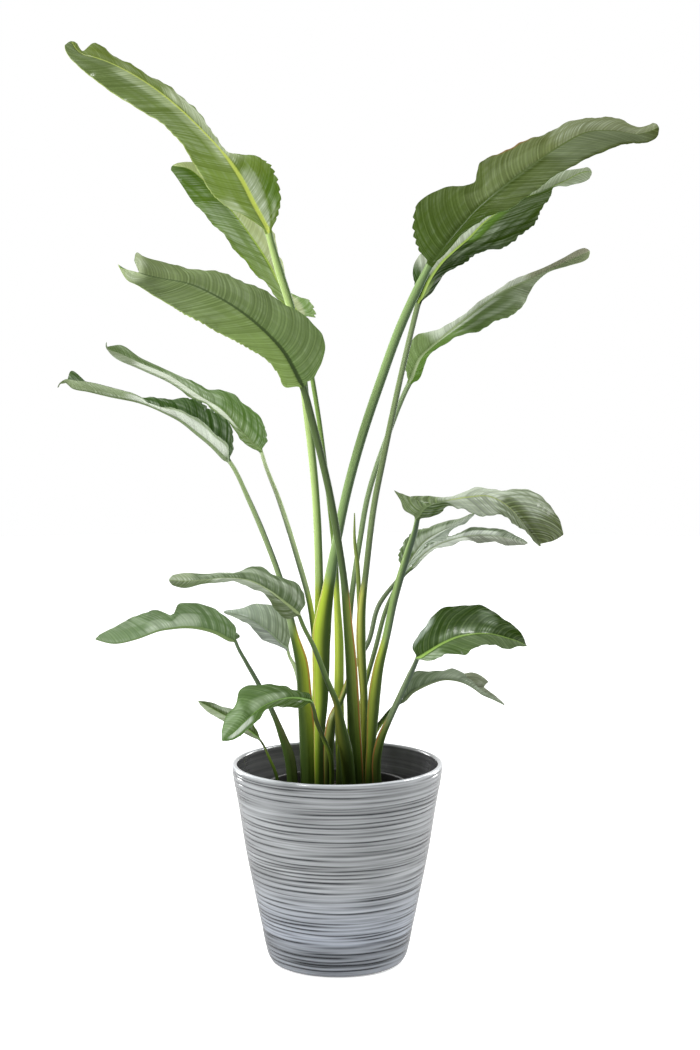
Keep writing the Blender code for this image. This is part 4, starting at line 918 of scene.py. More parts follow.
# %% The tallest leaves on the right
make_leaf(
    "leaf_top_right", foot=(-25, -32, 13), lean=-60, wave=1.8, calm_from=0.93, sheath_top=590,
    teeth=((LEFT, 0.02, 0.2, 5),),
    stalk=(
        (319, 740, -32, 14), (321, 700, -31, 20), (321, 670, -30, 24), (322, 630, -28, 26),
        (328, 590, -24, 17), (336, 545, -12, 13), (345, 500, -10, 13), (361, 440, -10, 13),
        (381, 380, -10, 13), (400, 328, -10, 13), (419, 286, -10, 12), (427, 270, -10, 10),
    ),
    blade=(
        (429, 266, -10, -2, -2, 0, 2, 2, 0), (436, 258, -10, -19, -10, 2, 8, -3, -4),
        (446, 245, -11, -34, -17, 7, 14, -8, -11), (460, 228, -12, -42, -25, 12, 18, -6, -16),
        (475, 211, -13, -34, -22, 17, 23, 2, -17), (492, 196, -14, -20, -13, 20, 24, 9, -16),
        (512, 180, -14, -31, -17, 24, 24, 10, -14), (535, 163, -14, -20, -17, 28, 23, 11, -12),
        (560, 146, -13, -12, -14, 29, 25, 14, -13), (588, 132, -12, -3, -14, 26, 22, 17, -12),
        (615, 131, -10, 3, -12, 18, 17, 12, -10), (640, 134, -8, 0, -7, 10, 9, 8, -6),
        (651, 131, -7, -2, -6, 6, 5, 7, -4), (659, 127, -6, -2, -7, 1, 2, 3, -1),
    ),
    faces=("#3C501B", "#636A40", "#32460C", "#424B22"), rib="#3C501E", stem=("#86A065", "#42563A"),
    sheath=("#A8BE3C", "#688420", -1), clasp_back="#3A4E1E", edge="#A98F4E", habit=(0.12, 0.05, 0.1),
    # The grey wash on the left half's tip is painted sheen; the brown one is the margin's own colour
    washes=(
        (LEFT, 0.3, 0.62, 0.1, 0.5, "#78865A", 0.35), (LEFT, 0.66, 1.1, 0, 1, "#858E76", 0.5),
        (LEFT, 0.5, 0.6, 0.96, 1.3, "#8A5A34", 0.9), (RIGHT, 0.6, 0.95, 0, 0.9, "#7C886C", 0.4),
        (RIGHT, 0.3, 0.6, 0.2, 1, "#6C7A4E", 0.3),
    ),
)
make_leaf(
    "leaf_second_right", foot=(37, 23, 13), lean=90, opening=120,
    teeth=((RIGHT, 0.12, 0.62, 4), (LEFT, 0, 0.1, 3)),
    stalk=(
        (364, 700, 20, 11), (361, 640, 16, 14), (362, 604, 16, 12), (365, 580, 16, 9), (375, 500, 20, 9),
        (383, 460, 22, 9), (400, 380, 26, 8.5), (417, 308, 30, 8),
    ),
    blade=(
        (418, 304, 30, -2, -1, 0, 2, 1, 0), (422, 297, 30, -8, -14, 8, 9, -4, -6),
        (430, 280, 31, -17, -12, 15, 15, -5, -11), (440, 265, 32, -18, -11, 20, 23, -2, -16),
        (453, 252, 33, -9, -10, 17, 32, 0, -21), (468, 239, 34, -10, -12, 14, 44, 4, -24),
        (486, 221, 36, -7, -12, 14, 47, 4, -26), (513, 203, 38, -5, -11, 12, 33, 0, -24),
        (541, 192, 40, -4, -11, 10, 14, -4, -14), (565, 181, 41, -2, -10, 5, 5, 4, -7),
        (584, 172, 42, -1, -4, 1, 2, 9, -4), (592, 172, 42, -1, -6, 0, 1, 4, -1),
    ),
    faces=("#274108", "#2E450B", "#152704", "#34460F"), rib="#94AC50", stem=("#7F9162", "#485440"),
    sheath=("#DADF74", "#A2B044", -1), edge="#A07A48", habit=(0.06, 0.1, 0.2),
    # On the right half, the grey-green wash on the pleats is a painted highlight, and the bright green one
    # by the rib paints the light falling there
    washes=(
        (LEFT, 0.17, 0.58, 0, 1.2, "#D2D8C4", 0.85), (LEFT, 0.6, 1.1, 0, 1.2, "#B4BDA0", 0.8),
        (RIGHT, 0.02, 0.12, 0, 0.6, "#7E9358", 0.6), (RIGHT, 0.25, 0.5, 0.35, 0.5, "#8F9C80", 0.35),
        (RIGHT, 0.4, 0.6, 0, 0.25, "#5C7E2E", 0.6), (RIGHT, 0.8, 1.1, 0, 1, "#A9B496", 0.7),
    ),
)
make_leaf(
    "leaf_third_right", foot=(20, 52, 10), lean=170, calm_from=0.66, opening=120, sheath_top=620,
    teeth=((LEFT, 0, 0.12, 4), (RIGHT, 0.1, 0.2, 2)),
    stalk=(
        (350, 700, 52, 9), (350, 615, 50, 8), (360, 540, 44, 8), (367, 500, 42, 8), (388, 435, 43, 8),
        (407, 388, 46, 7.5),
    ),
    blade=(
        (409, 384, 46, -2, 0, 0, 3, 1, 0), (413, 375, 47, -8, -6, 5, 6, 4, -5),
        (420, 359, 48, -15, -7, 10, 8, -1, -10), (432, 347, 49, -14, -12, 13, 11, -3, -15),
        (450, 331, 50, -8, -3, 8, 18, 3, -20), (466, 318, 50, -2, -4, 6, 24, 7, -22),
        (485, 303, 50, -3, -3, 8, 23, 13, -22), (505, 290, 48, -2, -4, 10, 17, 18, -20),
        (525, 281, 46, -3, -5, 8, 5, 10, -14), (545, 272, 44, -2, -4, 4, 2, 1, -4),
        (565, 262, 42, -2, -4, 2, 3, 4, -4), (583, 254, 40, -3, -5, 2, 3, 6, -2),
        (590, 251, 40, -2, -4, 0, 1, 4, 0),
    ),
    faces=("#688048", "#90907A", "#4C6C22", "#808A68"), under=("#7F937A", "#93A38B"), rib="#8C9C72",
    stem=("#82966A", "#526246"), habit=(0.06, 0.06, 0.12),
    # The near-white streak on the right half is a painted highlight on a fold
    washes=(
        (LEFT, 0.25, 0.7, 0, 1.2, "#D2D7CD", 0.85), (RIGHT, 0.1, 0.55, 0.1, 0.22, "#E6EBDF", 0.75),
        (RIGHT, 0.3, 0.62, 0.55, 0.66, "#C8D0BC", 0.5), (RIGHT, 0.6, 0.8, 0.2, 1.2, "#A9B09A", 0.5),
    ),
)

# %% [markdown]
# The middle leaves on the right turn their backs or hold their blades edge on.

# %% The middle leaves on the right
make_leaf(
    "leaf_middle_right", foot=(44, -8, 12), lean=-60, opening=120, sheath_top=650,
    stalk=(
        (371, 745, -10, 13), (373, 712, -11, 17), (375, 690, -12, 17), (379, 665, -13, 14),
        (385.5, 640, -14, 11), (394, 600, -16, 11), (408, 552, -18, 11), (416, 526, -18, 9),
    ),
    blade=(
        (417, 520, -18, -1, -1, 3, 1, 1, -3), (419, 514, -19, -15, -5, 7, 12, 3, -9),
        (421, 511, -20, -20, -9, 12, 16, 4, -12), (424, 508, -20, -30, -18, 16, 18, 4, -16),
        (428, 506, -20, -24, -9, 20, 17, 3, -19), (434, 504, -21, -19, -7, 25, 15, 2, -21),
        (450, 500, -22, -10, -2, 30, 8, 7, -24), (468, 497, -24, 0, -6, 34, 4, 17, -26),
        (488, 496, -26, 6, -7, 38, 0, 19, -26), (506, 505, -28, 14, -15, 40, 1, 13, -26),
        (519, 518, -30, 24, -21, 38, 1, 9, -24), (530, 532, -32, 28, -14, 30, 1, 6, -18),
        (540, 544, -33, 25, -3, 17, 3, 5, -11),
    ),
    faces=("#5C6C47", "#47502F", "#2B3D17", "#464F32"), rib="#93A060", rib_from=0.3,
    stem=("#86A05E", "#425240"), sheath=("#A4B444", "#6C842C", -1), edge="#B08A48", habit=(0.35, 0.15, 0.2),
    # The grey-white washes are painted reflection of the bright room
    washes=(
        (LEFT, 0.3, 0.64, 0, 1, "#C0C7BA", 0.85), (LEFT, 0.6, 0.85, 0.25, 1.2, "#98A190", 0.5),
        (RIGHT, 0.3, 0.62, 0, 1, "#ADB5A6", 0.8), (RIGHT, 0.6, 0.85, 0, 0.7, "#8A9480", 0.4),
    ),
)
make_leaf(
    "leaf_thin_right", foot=(-12, -12, 15), lean=110, wave=6, opening=120, sheath_top=690,
    teeth=((LEFT, 0.02, 0.6, 3), (RIGHT, 0.02, 0.4, 3)),
    stalk=(
        (329, 740, -11, 16), (333, 716, -6, 12), (341, 700, 2, 8), (349, 678, 15, 7), (355, 666, 33, 7),
        (361, 655, 42, 7), (367, 645, 46, 7), (379, 605, 52, 7), (400, 577, 58, 6),
    ),
    blade=(
        (403, 573, 58, -1, -2, 2, 1, 2, -2), (407, 566, 58, -9, -6, 6, 7, -4, -6),
        (414, 555, 58, -14, -9, 12, 10, -5, -12), (424, 542, 58, -12, -8, 12, 14, -2, -14),
        (440, 532, 57, -6, -8, 11, 12, 0, -13), (458, 524, 56, -2, -4, 8, 7, -2, -8),
        (475, 513, 55, -1, -1, 0, 1, 1, -1),
    ),
    # Its grey-green faces are partly painted reflection, the near-white washes painted highlights on the
    # crumples, and the dark ones painted shade in the creases
    faces=("#5E763F", "#7E8A72", "#6C7A64", "#798175"), rib="#7E8C68", stem=("#6F7E5C", "#4A5840"),
    sheath=("#A8B05C", "#5E6E2C", -1), edge="#A8673F", habit=(0.12, 0.35, 0.15),
    washes=(
        (RIGHT, 0, 0.9, 0.15, 0.4, "#E3E8E1", 0.7), (RIGHT, 0, 0.6, 0.6, 1.2, "#CBD5C8", 0.5),
        (LEFT, 0.3, 1.1, 0, 0.4, "#D2D8CE", 0.6), (LEFT, 0.1, 0.8, 0.5, 0.75, "#3F4E32", 0.6),
        (RIGHT, 0.1, 0.5, 0.42, 0.56, "#4A5A3E", 0.5),
    ),
)
make_leaf(
    "leaf_back_right", foot=(30, 62, 8), lean=180, wave=5, opening=120, sheath_top=690,
    teeth=((LEFT, 0.02, 0.5, 2),),
    stalk=((362, 700, 66, 7), (375, 650, 72, 7), (390, 600, 76, 6.5), (408, 571, 78, 5.5)),
    blade=(
        (412, 568, 78, -1, -2, 2, 1, 2, -2), (420, 558, 79, -4, -6, 9, 4, -1, -7),
        (436, 546, 80, -4, -5, 12, 4, 2, -12), (458, 538, 82, -2, -5, 14, 4, 4, -14),
        (485, 535, 84, 0, -8, 12, 3, 7, -14), (508, 538, 86, 0, -6, 8, 0, 7, -10),
        (528, 543, 87, -1, -2, 0, 0, 2, -1),
    ),
    # Its grey-green faces are partly painted reflection, the near-white washes painted highlights on the
    # crumples, and the dark one painted shade in a crease
    faces=("#5C6852", "#5E6955", "#6C7166", "#6D7164"), rib="#8A9676", stem=("#7C9060", "#4A5A3C"),
    habit=(0.12, 0.35, 0.15),
    washes=(
        (LEFT, 0.1, 0.75, 0, 0.5, "#E3E8E1", 0.75), (LEFT, 0, 0.8, 0.6, 0.85, "#465438", 0.5),
        (RIGHT, 0, 0.5, 0.3, 1.2, "#DADFD7", 0.7),
    ),
)

# %% [markdown]
# The lowest leaves on the right face the front.

# %% The lowest leaves on the right
make_leaf(
    "leaf_low_right", foot=(57, -27, 13), lean=-120, opening=120, sheath_top=725,
    stalk=(
        (377, 755, -28, 13), (381, 738, -31, 12), (389, 720, -36, 9), (402, 692, -42, 8.5),
        (410, 675, -46, 8.5), (415, 664, -48, 7.5),
    ),
    blade=(
        (417, 659, -48, -1, -1, 3, 1, 1, -3), (421, 657, -49, -8, -9, 11, 6, 4, -11),
        (429, 652, -50, -9, -20, 24, 9, 6, -22), (442, 644, -52, -8, -28, 34, 10, 10, -28),
        (458, 637, -54, -8, -31, 40, 8, 16, -30), (474, 634, -56, -6, -29, 42, 4, 14, -28),
        (490, 634, -58, -2, -25, 40, 2, 9, -24), (507, 638, -60, 1, -17, 26, 0, 12, -16),
        (519, 642, -62, 3, -7, 12, 0, 4, -6), (527, 646, -62, 0, -1, 0, 0, 1, -1),
    ),
    faces=("#2E4318", "#213408", "#465E2D", "#495838"), rib="#86A650", stem=("#6C7C58", "#445242"),
    sheath=("#7C8440", "#4E5E22", -1), edge="#A8673F", habit=(0.14, 0.04, 0.45),
    # The pale wash near the left margin is a painted highlight
    washes=(
        (RIGHT, 0, 0.25, 0.3, 1, "#9CAE90", 0.6), (LEFT, 0.1, 0.3, 0.75, 1.1, "#B4C2B8", 0.55),
        (LEFT, 0.62, 0.72, 0.3, 0.8, "#8A9C80", 0.4), (LEFT, 0.3, 0.7, 0, 0.25, "#7C9468", 0.4),
    ),
)
make_leaf(
    "leaf_lowest_right", foot=(54, 14, 9), lean=80, opening=120, sheath_top=720,
    stalk=((376, 730, 14, 8), (383, 720, 14, 7.5), (391, 710, 12, 7), (399, 703, 10, 6)),
    blade=(
        (401, 702, 10, 0, 0, 3, 0, -1, -3), (406, 698, 9, 2, -8, 15, -4, -9, -11),
        (412, 692, 8, 4, -10, 26, -4, -17, -16), (425, 685, 7, 3, -6, 31, 0, -13, -19),
        (445, 679, 6, 3, -4, 34, 3, -10, -18), (463, 682, 5, 7, -8, 31, 1, -8, -15),
        (474, 688, 4, 14, -7, 26, -2, -8, -13), (482, 694, 3, 3, -7, 15, -1, -4, -9),
        (493, 699, 2, 1, -4, 8, -1, -3, -6), (505, 705, 1, 0, -1, 1, 0, -1, -1),
    ),
    faces=("#586040", "#606654", "#48542C", "#666858"), under=("#58684C", "#747F6A"), rib="#7C8C60",
    stem=("#6C7C58", "#465440"), habit=(0.1, 0.12, 0.2), washed_face=-1,
    washes=((LEFT, 0.5, 1.1, 0, 1, "#A4AA9C", 0.5), (RIGHT, 0.4, 0.8, 0, 1, "#8C9484", 0.4)),
)

# %% [markdown]
# ## The young growth
# A new leaf comes up rolled tightly into a spear, and unrolls when it is full-grown. It has no blade to
# show yet, so the stalk's ring is enough. The shoot at the front is younger still.

# %% Spear and shoot
make_leaf(
    "rolled_spear", foot=(38, 38, 8), opening=120, sheath_top=640, slot="young_leaf_green",
    stalk=(
        (363, 700, 39, 7), (361, 640, 41, 7), (359, 595, 43, 7), (357, 560, 44, 6), (355, 545, 44, 5),
        (354.5, 513, 44, 1.6),
    ),
    stem=("#84944E", "#4E602E"), sheath=("#CBD858", "#9DAE40", -1),
)
make_leaf(
    "young_shoot", foot=(3.5, -36, 10), opening=90, sheath_top=740, slot="young_leaf_green",
    stalk=((339, 775, -36, 9), (338.5, 760, -36, 6), (338, 745, -36, 1.6)),
    stem=("#9CA65A", "#566A28"), sheath=("#7E8C3C", "#46561E", -1),
)

# %% [markdown]
# ## The glazed pot
# The outer pot is stoneware, turned on a wheel. A comb held against the turning clay left a line every six
# millimetres or so. The glaze pooled dark in those lines, and painted shade in each groove darkens them
# further. It ran thin and pale over the rim, where a pale line at the edge is also a painted highlight.
#
# A turned pot is a profile, spun round. The comb's lines are pressed in afterwards by a formula: each has a
# height, a slow wobble, and a strength that fades in and out round the pot. The depth of a line also
# darkens the glaze, by way of a colour attribute.

# %% The pot's profile
RIM_RADIUS, RIM_HEIGHT = 150 * MM, 285 * MM
POT_WALL, POT_FLOOR = 7.5 * MM, 9 * MM
POT_FOOT_RADIUS = 92 * MM
POT_SIDE = ((273, 149), (229, 141.5), (156, 130), (98, 118.5), (54, 109.5), (20, 102.5), (8, 99), (2, 95.5))
POT_ROW = 0.9 * MM
POT_SPIN = 168


def spun(profile, steps):
    """A closed bmesh turned about the Z axis from (radius, height) points that start and end on it."""
    mesh = bmesh.new()
    points = [mesh.verts.new((radius, 0, height)) for radius, height in profile]
    for one, after in zip(points, points[1:]):
        mesh.edges.new((one, after))
    bmesh.ops.spin(
        mesh, geom=mesh.verts[:] + mesh.edges[:], cent=(0, 0, 0), axis=(0, 0, 1), angle=2 * math.pi,
        steps=steps, use_merge=True,
    )
    bmesh.ops.remove_doubles(mesh, verts=mesh.verts, dist=WELD)
    bmesh.ops.recalc_face_normals(mesh, faces=mesh.faces)
    for face in mesh.faces:
        face.smooth = True
    return mesh


def arc(middle, radius, first, last, count):
    """Profile points on an arc from one angle in degrees to another."""
    angles = np.radians(np.linspace(first, last, count))
    return [(middle[0] + radius * math.cos(a), middle[1] + radius * math.sin(a)) for a in angles]


side_rows = np.concatenate([[(RIM_HEIGHT, RIM_RADIUS)], np.array(POT_SIDE) * MM])
fallen = RIM_HEIGHT - side_rows[:, 0]
lip = POT_WALL / 2
drops = np.linspace(lip, fallen[-1], round((fallen[-1] - lip) / POT_ROW))
outside = [(radius, height) for height, radius in smooth(side_rows, fallen, drops)]
inside = [(radius - POT_WALL, height) for radius, height in outside[::8] if height > 2.2 * POT_FLOOR]
rim = arc((outside[0][0] - lip, RIM_HEIGHT - lip), lip, 172, 8, 12)
floor_edge = inside[-1][0]
pot_profile = [(0, POT_FLOOR), (floor_edge * 0.5, POT_FLOOR), (floor_edge - 8 * MM, POT_FLOOR)]
pot_profile += [(floor_edge - 2 * MM, POT_FLOOR + 3 * MM), *reversed(inside), *rim, *outside]
pot_profile += [(POT_FOOT_RADIUS, 0), (POT_FOOT_RADIUS * 0.5, 0), (0, 0)]
print("rows down the pot:", len(pot_profile))

# %% Combing the pot
COMB_GAPS = (3.6 * MM, 8.4 * MM)
COMB_WIDTHS = (0.8 * MM, 1.6 * MM)
COMB_DEPTH = 0.5 * MM
COMB_WOBBLE = 0.8 * MM
FOOT_BAND = 50 * MM
dice = random.Random(7)


def comb_pool_and_shade(height, turn):
    """How strong the comb's lines are, 0 to 1, at heights and angles round the pot: how deep they are, how
    full of glaze, and how much painted shade they carry.
    """
    pool_and_shade = np.zeros_like(height)
    line = RIM_HEIGHT - 7 * MM
    while line > 9 * MM:
        phases = [dice.uniform(0, 2 * math.pi) for _ in range(5)]
        wobble = np.sin(turn + phases[0]) + 0.6 * np.sin(3 * turn + phases[1])
        wobble += 0.25 * np.sin(8 * turn + phases[2])
        strength = 0.8 + 0.45 * np.sin(2 * turn + phases[3]) + 0.3 * np.sin(5 * turn + phases[4])
        thick = dice.uniform(*COMB_WIDTHS) * (1.35 if line < FOOT_BAND else 1)
        near = np.exp(-(((height - line - COMB_WOBBLE * wobble) / thick) ** 2))
        pool_and_shade = np.maximum(pool_and_shade, near * np.clip(strength, 0.15, 1))
        line -= dice.uniform(*COMB_GAPS) * (0.75 if line < FOOT_BAND else 1)
    return pool_and_shade


pot_bmesh = spun(pot_profile, POT_SPIN)
spots = np.array([vert.co for vert in pot_bmesh.verts])
radii, heights = np.hypot(spots[:, 0], spots[:, 1]), spots[:, 2]
wall = np.interp(heights, side_rows[::-1, 0], side_rows[::-1, 1])
outer = (radii > wall - 0.4 * POT_WALL) & (heights > 1 * MM)
pool_and_shade = comb_pool_and_shade(heights, np.arctan2(spots[:, 1], spots[:, 0])) * outer * (heights < RIM_HEIGHT - 4 * MM)
print("most glaze in a line:", round(float(pool_and_shade.max()), 2))

# %% [markdown]
# The thrown clay shows through thin glaze and is hidden under a thick pool, so the colour goes by how full
# a line is, and by the rim's edge, where the glaze ran off. It also changes with height. Light is painted in
# too: painted shade in the lines, a painted highlight round the rim's outer edge, and painted shade inside
# the pot.

# %% Colouring the pot
rise, radius = heights[:, None], radii[:, None]
top = ease((rise - RIM_HEIGHT + 3 * MM) / (1.5 * MM))
# The grey is bluer low down, and a darker band lies round the foot
glaze = blend(linear("#999C9E"), linear("#A2A8B2"), ease((160 * MM - rise) / (120 * MM)))
glaze = blend(glaze, linear("#8E939A"), ease((FOOT_BAND - rise) / (6 * MM)))
# The lines darken where glaze pools, and with painted shade in each groove
glaze = blend(glaze, linear("#25282B"), pool_and_shade[:, None])
# Inside the pot the glaze is painted dark grey as shade
glaze = np.where(outer[:, None], glaze, linear("#5A5A5C"))
glaze = blend(glaze, linear("#85898D"), top)
# A pale line round the rim's outer edge: thin glaze, and a painted highlight
corner = np.exp(-(((radius - RIM_RADIUS + 1.6 * MM) / (1.2 * MM)) ** 2))
glaze = blend(glaze, linear("#BFC3C7"), corner * top)
tag = pot_bmesh.verts.layers.float_vector.new("glaze_tint")
for vert, colour, depth, reach in zip(pot_bmesh.verts, glaze, pool_and_shade, radii):
    vert[tag] = colour
    if depth > 0:
        vert.co.xy *= 1 - COMB_DEPTH * depth / reach
print("points coloured:", len(glaze), "with glaze pooled:", int((pool_and_shade > 0.5).sum()))

# %% [markdown]
# The glaze is glass, melted on in the kiln, so it has the refraction of glass, is smooth but not a mirror,
# and shows small clouds, 70 mm wide, and bands 2.5 mm high, drawn out round the pot as the wheel left them.

# %% Glaze
BAND_LENGTH, BAND_HEIGHT, CLOUD_SIZE = 166.7 * MM, 2.5 * MM, 71.4 * MM

pot_glaze, tree, shader = new_finish("stoneware_glaze")
tint = add_node(tree, "Attribute", attribute_name="glaze_tint")
place = add_node(tree, "TexCoord").outputs["Object"]
drawn_out = (1 / BAND_LENGTH, 1 / BAND_LENGTH, 1 / BAND_HEIGHT)
bands = add_node(tree, "VectorMath", [place, drawn_out], operation="MULTIPLY")
bands = add_node(tree, "TexNoise", {"Vector": bands, "Scale": 1, "Detail": 3})
clouds = add_node(tree, "TexNoise", {"Vector": place, "Scale": 1 / CLOUD_SIZE, "Detail": 2})
shade = add_node(tree, "MapRange", [bands, 0.3, 0.7, 0.66, 1.24])
cloud_shade = add_node(tree, "MapRange", [clouds, 0.3, 0.7, 0.92, 1.06])
shade = add_node(tree, "Math", [shade, cloud_shade], operation="MULTIPLY")
coloured = add_node(tree, "VectorMath", {0: tint, 3: shade}, operation="SCALE")
bump = add_node(tree, "Bump", {"Strength": 0.25, "Distance": 0.5 * MM, "Height": bands})
feed(shader, {"Base Color": coloured, "Normal": bump, "Roughness": 0.2, "IOR": 1.52})
feed(shader, {"Coat Weight": 1, "Coat Roughness": 0.1})
pot_mesh = kept(pot_bmesh, "glazed_pot_turned")
print("triangles in the pot:", add_piece(pot_mesh, [pot_glaze], "glazed_pot"))

# %% [markdown]
# ## The nursery pot
# Inside stands the thin black pot that the grower used. It is polypropylene, moulded in a shot, with a
# rolled rim. It is dull because the mould was, and dusty in patches of a few centimetres. Soil is mottled
# too, only more coarsely, so one function makes both finishes.

# %% Nursery pot
LINER_RIM_RADIUS, LINER_RIM_HEIGHT = 104 * MM, 252 * MM
LINER_FOOT_RADIUS = 84 * MM
LINER_WALL, LINER_RIM_WIDTH = 2 * MM, 4 * MM
LINER_SPIN = 120


def mottled_finish(name, roughness, colours, patches, grain, relief):
    """Two colours mixed in patches, over a bumpy grain. patches and grain are a size and a detail."""
    made, tree, shader = new_finish(name)
    place = add_node(tree, "TexCoord").outputs["Object"]
    mix, height = (
        add_node(tree, "TexNoise", {"Vector": place, "Scale": 1 / size, "Detail": detail})
        for size, detail in (patches, grain)
    )
    dark, light = ((*linear(colour), 1) for colour in colours)
    mixed = add_node(tree, "Mix", {0: mix, 6: dark, 7: light}, data_type="RGBA")
    bump = add_node(tree, "Bump", {"Strength": relief[0], "Distance": relief[1], "Height": height})
    feed(shader, {"Base Color": mixed.outputs[2], "Normal": bump, "Roughness": roughness})
    return made


seat = POT_FLOOR + 0.3 * MM
wall_top, inner_rim = LINER_RIM_HEIGHT - 9 * MM, LINER_RIM_RADIUS - LINER_RIM_WIDTH
lip_middle = (LINER_RIM_RADIUS - LINER_RIM_WIDTH / 2, LINER_RIM_HEIGHT - LINER_RIM_WIDTH / 2)
liner_profile = [
    (0, seat + LINER_WALL), (LINER_FOOT_RADIUS - 2 * LINER_WALL, seat + LINER_WALL),
    (LINER_FOOT_RADIUS - LINER_WALL, seat + 2 * LINER_WALL), (inner_rim, wall_top),
    *arc(lip_middle, LINER_RIM_WIDTH / 2, 180, 0, 9),
    (LINER_RIM_RADIUS, wall_top), (LINER_RIM_RADIUS - 1 * MM, wall_top - 0.6 * MM),
    (inner_rim + LINER_WALL, wall_top - 0.8 * MM),
    (LINER_FOOT_RADIUS, seat + LINER_WALL), (LINER_FOOT_RADIUS - LINER_WALL, seat), (0, seat),
]
black_plastic = mottled_finish(
    "moulded_polypropylene", 0.42, ("#151415", "#2B2A29"), (33.3 * MM, 4), (1.43 * MM, 2), (0.3, 0.2 * MM)
)
liner_mesh = kept(spun(liner_profile, LINER_SPIN), "nursery_pot_moulded")
liner_triangles = add_piece(liner_mesh, [black_plastic], "nursery_pot")
print("triangles in the nursery pot:", liner_triangles)

# %% [markdown]
# ## The soil
# Potting soil is peat and composted bark. Its surface is uneven and crumbly, so we spin a disc with many
# rows, lift its points by noise, and strew crumbs over it. A crumb is a ball of only twenty faces, because
# there are hundreds of them.

# %% Soil
SOIL_LOW, SOIL_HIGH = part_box("soil")
SOIL_BOTTOM, SOIL_REACH = SOIL_LOW[2], SOIL_HIGH[0]
SOIL_ROWS, SOIL_SPIN = 26, 96
SOIL_EDGE = 14 * MM
CRUMBS = 420
CRUMB_SIZES = (1.0 * MM, 3.2 * MM)
LUMP_HEIGHT, LUMP_SCALE = 4 * MM, 45
GRAIN_HEIGHT, GRAIN_SCALE = 1.5 * MM, 160
soil_profile = [(SOIL_REACH * (row / SOIL_ROWS), SOIL_TOP) for row in range(SOIL_ROWS)]
soil_profile += [(SOIL_REACH, SOIL_TOP - 3 * MM), (SOIL_REACH - 8 * MM, SOIL_BOTTOM), (0, SOIL_BOTTOM)]
soil_bmesh = spun(soil_profile, SOIL_SPIN)
for vert in soil_bmesh.verts:
    if vert.co.z > SOIL_TOP - 1 * MM:
        edge = ease((SOIL_REACH - vert.co.xy.length) / SOIL_EDGE)
        lump = LUMP_HEIGHT * noise.noise(vert.co * LUMP_SCALE)
        vert.co.z += edge * (lump + GRAIN_HEIGHT * noise.noise(vert.co * GRAIN_SCALE))
for _ in range(CRUMBS):
    angle = dice.uniform(0, 2 * math.pi)
    reach = (SOIL_REACH - 5 * MM) * math.sqrt(dice.random())
    spot = Vector((reach * math.cos(angle), reach * math.sin(angle), SOIL_TOP))
    size = dice.uniform(*CRUMB_SIZES)
    spot.z += LUMP_HEIGHT * noise.noise(spot * LUMP_SCALE) * float(ease((SOIL_REACH - reach) / SOIL_EDGE))
    ball = bmesh.ops.create_icosphere(soil_bmesh, subdivisions=1, radius=size)
    squash = Vector((dice.uniform(0.7, 1.2), dice.uniform(0.7, 1.2), dice.uniform(0.5, 0.9)))
    bmesh.ops.scale(soil_bmesh, vec=squash, verts=ball["verts"])
    bmesh.ops.translate(soil_bmesh, vec=spot, verts=ball["verts"])
potting_soil = mottled_finish(
    "peat_potting_soil", 0.95, ("#120C08", "#3A2C22"), (3.85 * MM, 5), (3.85 * MM, 5), (0.8, 1 * MM)
)
soil_mesh = kept(soil_bmesh, "soil_strewn")
print("triangles in the soil:", add_piece(soil_mesh, [potting_soil], "soil"))

# %% [markdown]
# ## The studio
# The plant stands on a white floor in soft light from all sides, with one large soft lamp at the front left.
# The floor isn't part of the object. Its glow keeps it white in the picture and lights the plant from
# below, but it mustn't mirror in the plant.

# %% Floor
floor_bmesh = bmesh.new()
bmesh.ops.create_circle(floor_bmesh, cap_ends=True, segments=96, radius=6)
floor = add_object("studio_floor", kept(floor_bmesh, "studio_floor"))
white_paper, tree, shader = new_finish("white_paper")
feed(shader, {"Base Color": (*linear("#F7F7F7"), 1), "Roughness": 0.9, "Specular IOR Level": 0.1})
feed(shader, {"Emission Color": (1, 1, 1, 1), "Emission Strength": 0.4})
floor.data.materials.append(white_paper)
floor.visible_glossy = False
print("floor:", floor.name)

# %% [markdown]
# The room is bright behind and above the plant and dimmer in front of it, which keeps the near faces of the
# leaves rich. The camera itself sees plain white behind the plant.

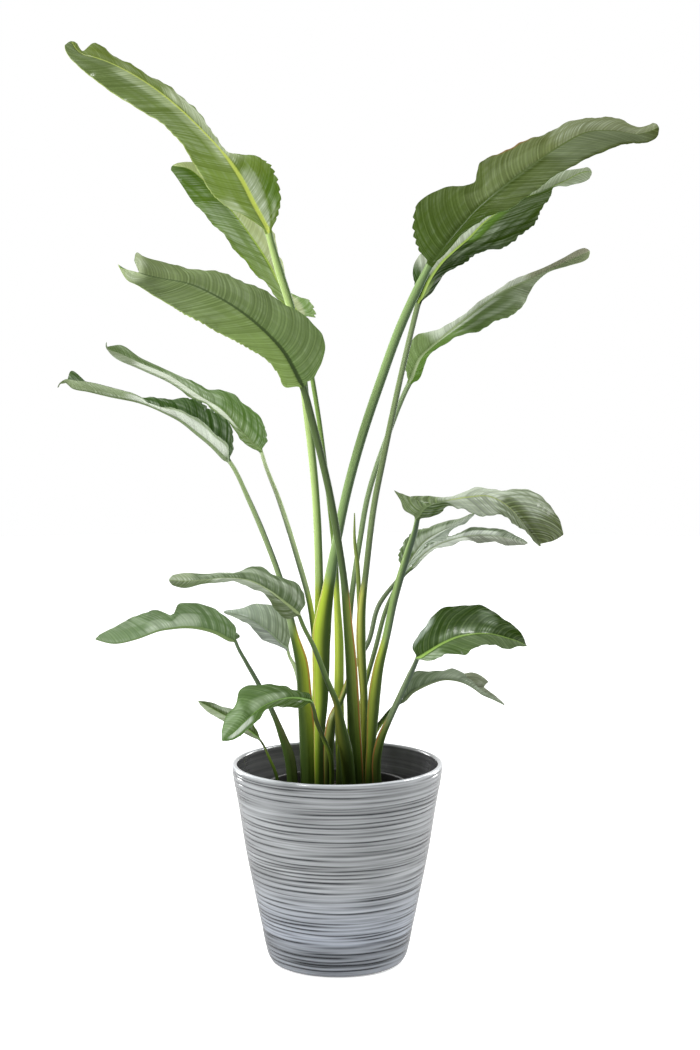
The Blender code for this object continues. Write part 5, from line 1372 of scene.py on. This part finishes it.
# %% The room's light
FRONT_GLOW, BACK_GLOW, SKY_GLOW, GROUND_SHARE = 0.04, 1.0, 0.3, 0.35
world = bpy.data.worlds.new("studio_sky")
world.use_nodes = True
tree = world.node_tree
room = tree.nodes["Background"]
_, depth, height = add_node(tree, "SeparateXYZ", [add_node(tree, "TexCoord").outputs["Generated"]]).outputs
glow = add_node(tree, "MapRange", [depth, -0.55, 0.1, FRONT_GLOW, BACK_GLOW])
sky = add_node(tree, "MapRange", [height, 0, 1, 0, SKY_GLOW])
ground = add_node(tree, "MapRange", [height, -0.4, 0, GROUND_SHARE, 1])
glow = add_node(tree, "Math", [glow, sky], operation="ADD")
glow = add_node(tree, "Math", [glow, ground], operation="MULTIPLY")
feed(room, [(1, 1, 1, 1), glow])
seen = add_node(tree, "Background", [(1, 1, 1, 1), 1])
choice = add_node(tree, "MixShader", [add_node(tree, "LightPath").outputs["Is Camera Ray"], room, seen])
feed(tree.nodes["World Output"], [choice])
bpy.context.scene.world = world
bpy.context.scene.view_settings.view_transform = "Standard"
print("glow in front and behind:", FRONT_GLOW, BACK_GLOW)

# %% [markdown]
# The lamps are large and round, so their shadows are soft. Two tall strips stand behind the plant, and draw
# a bright line down both sides of the glazed pot.

# %% Lamps


def soft_lamp(name, place, target, size, watts):
    """A round soft lamp at a place, turned to its target."""
    lamp = add_object(name, bpy.data.lights.new(name, "AREA"))
    lamp.data.shape = "DISK"
    lamp.data.size = size
    lamp.data.energy = watts
    lamp.location = place
    lamp.rotation_euler = (Vector(target) - Vector(place)).to_track_quat("-Z", "Y").to_euler()
    return lamp


soft_lamp("key_lamp", (-1.9, -1.7, 2.7), (0, 0, 0.7), 1.0, 85)
soft_lamp("rim_lamp", (2.4, 0.6, 2.2), (0, 0, 0.7), 1.0, 40)
for side in (-1, 1):
    strip = soft_lamp(f"strip_lamp_{side + 1}", (side * 1.8, 1.5, 0.8), (0, 0, 0.5), 0.5, 25)
    strip.data.shape = "RECTANGLE"
    strip.data.size_y = 2.0

# %% [markdown]
# ## The leaves' triangles
# At the end we count the triangles of all the leaves.

# %% Triangles of all leaves
print("triangles of all leaves:", sum(leaf_triangles.values()))
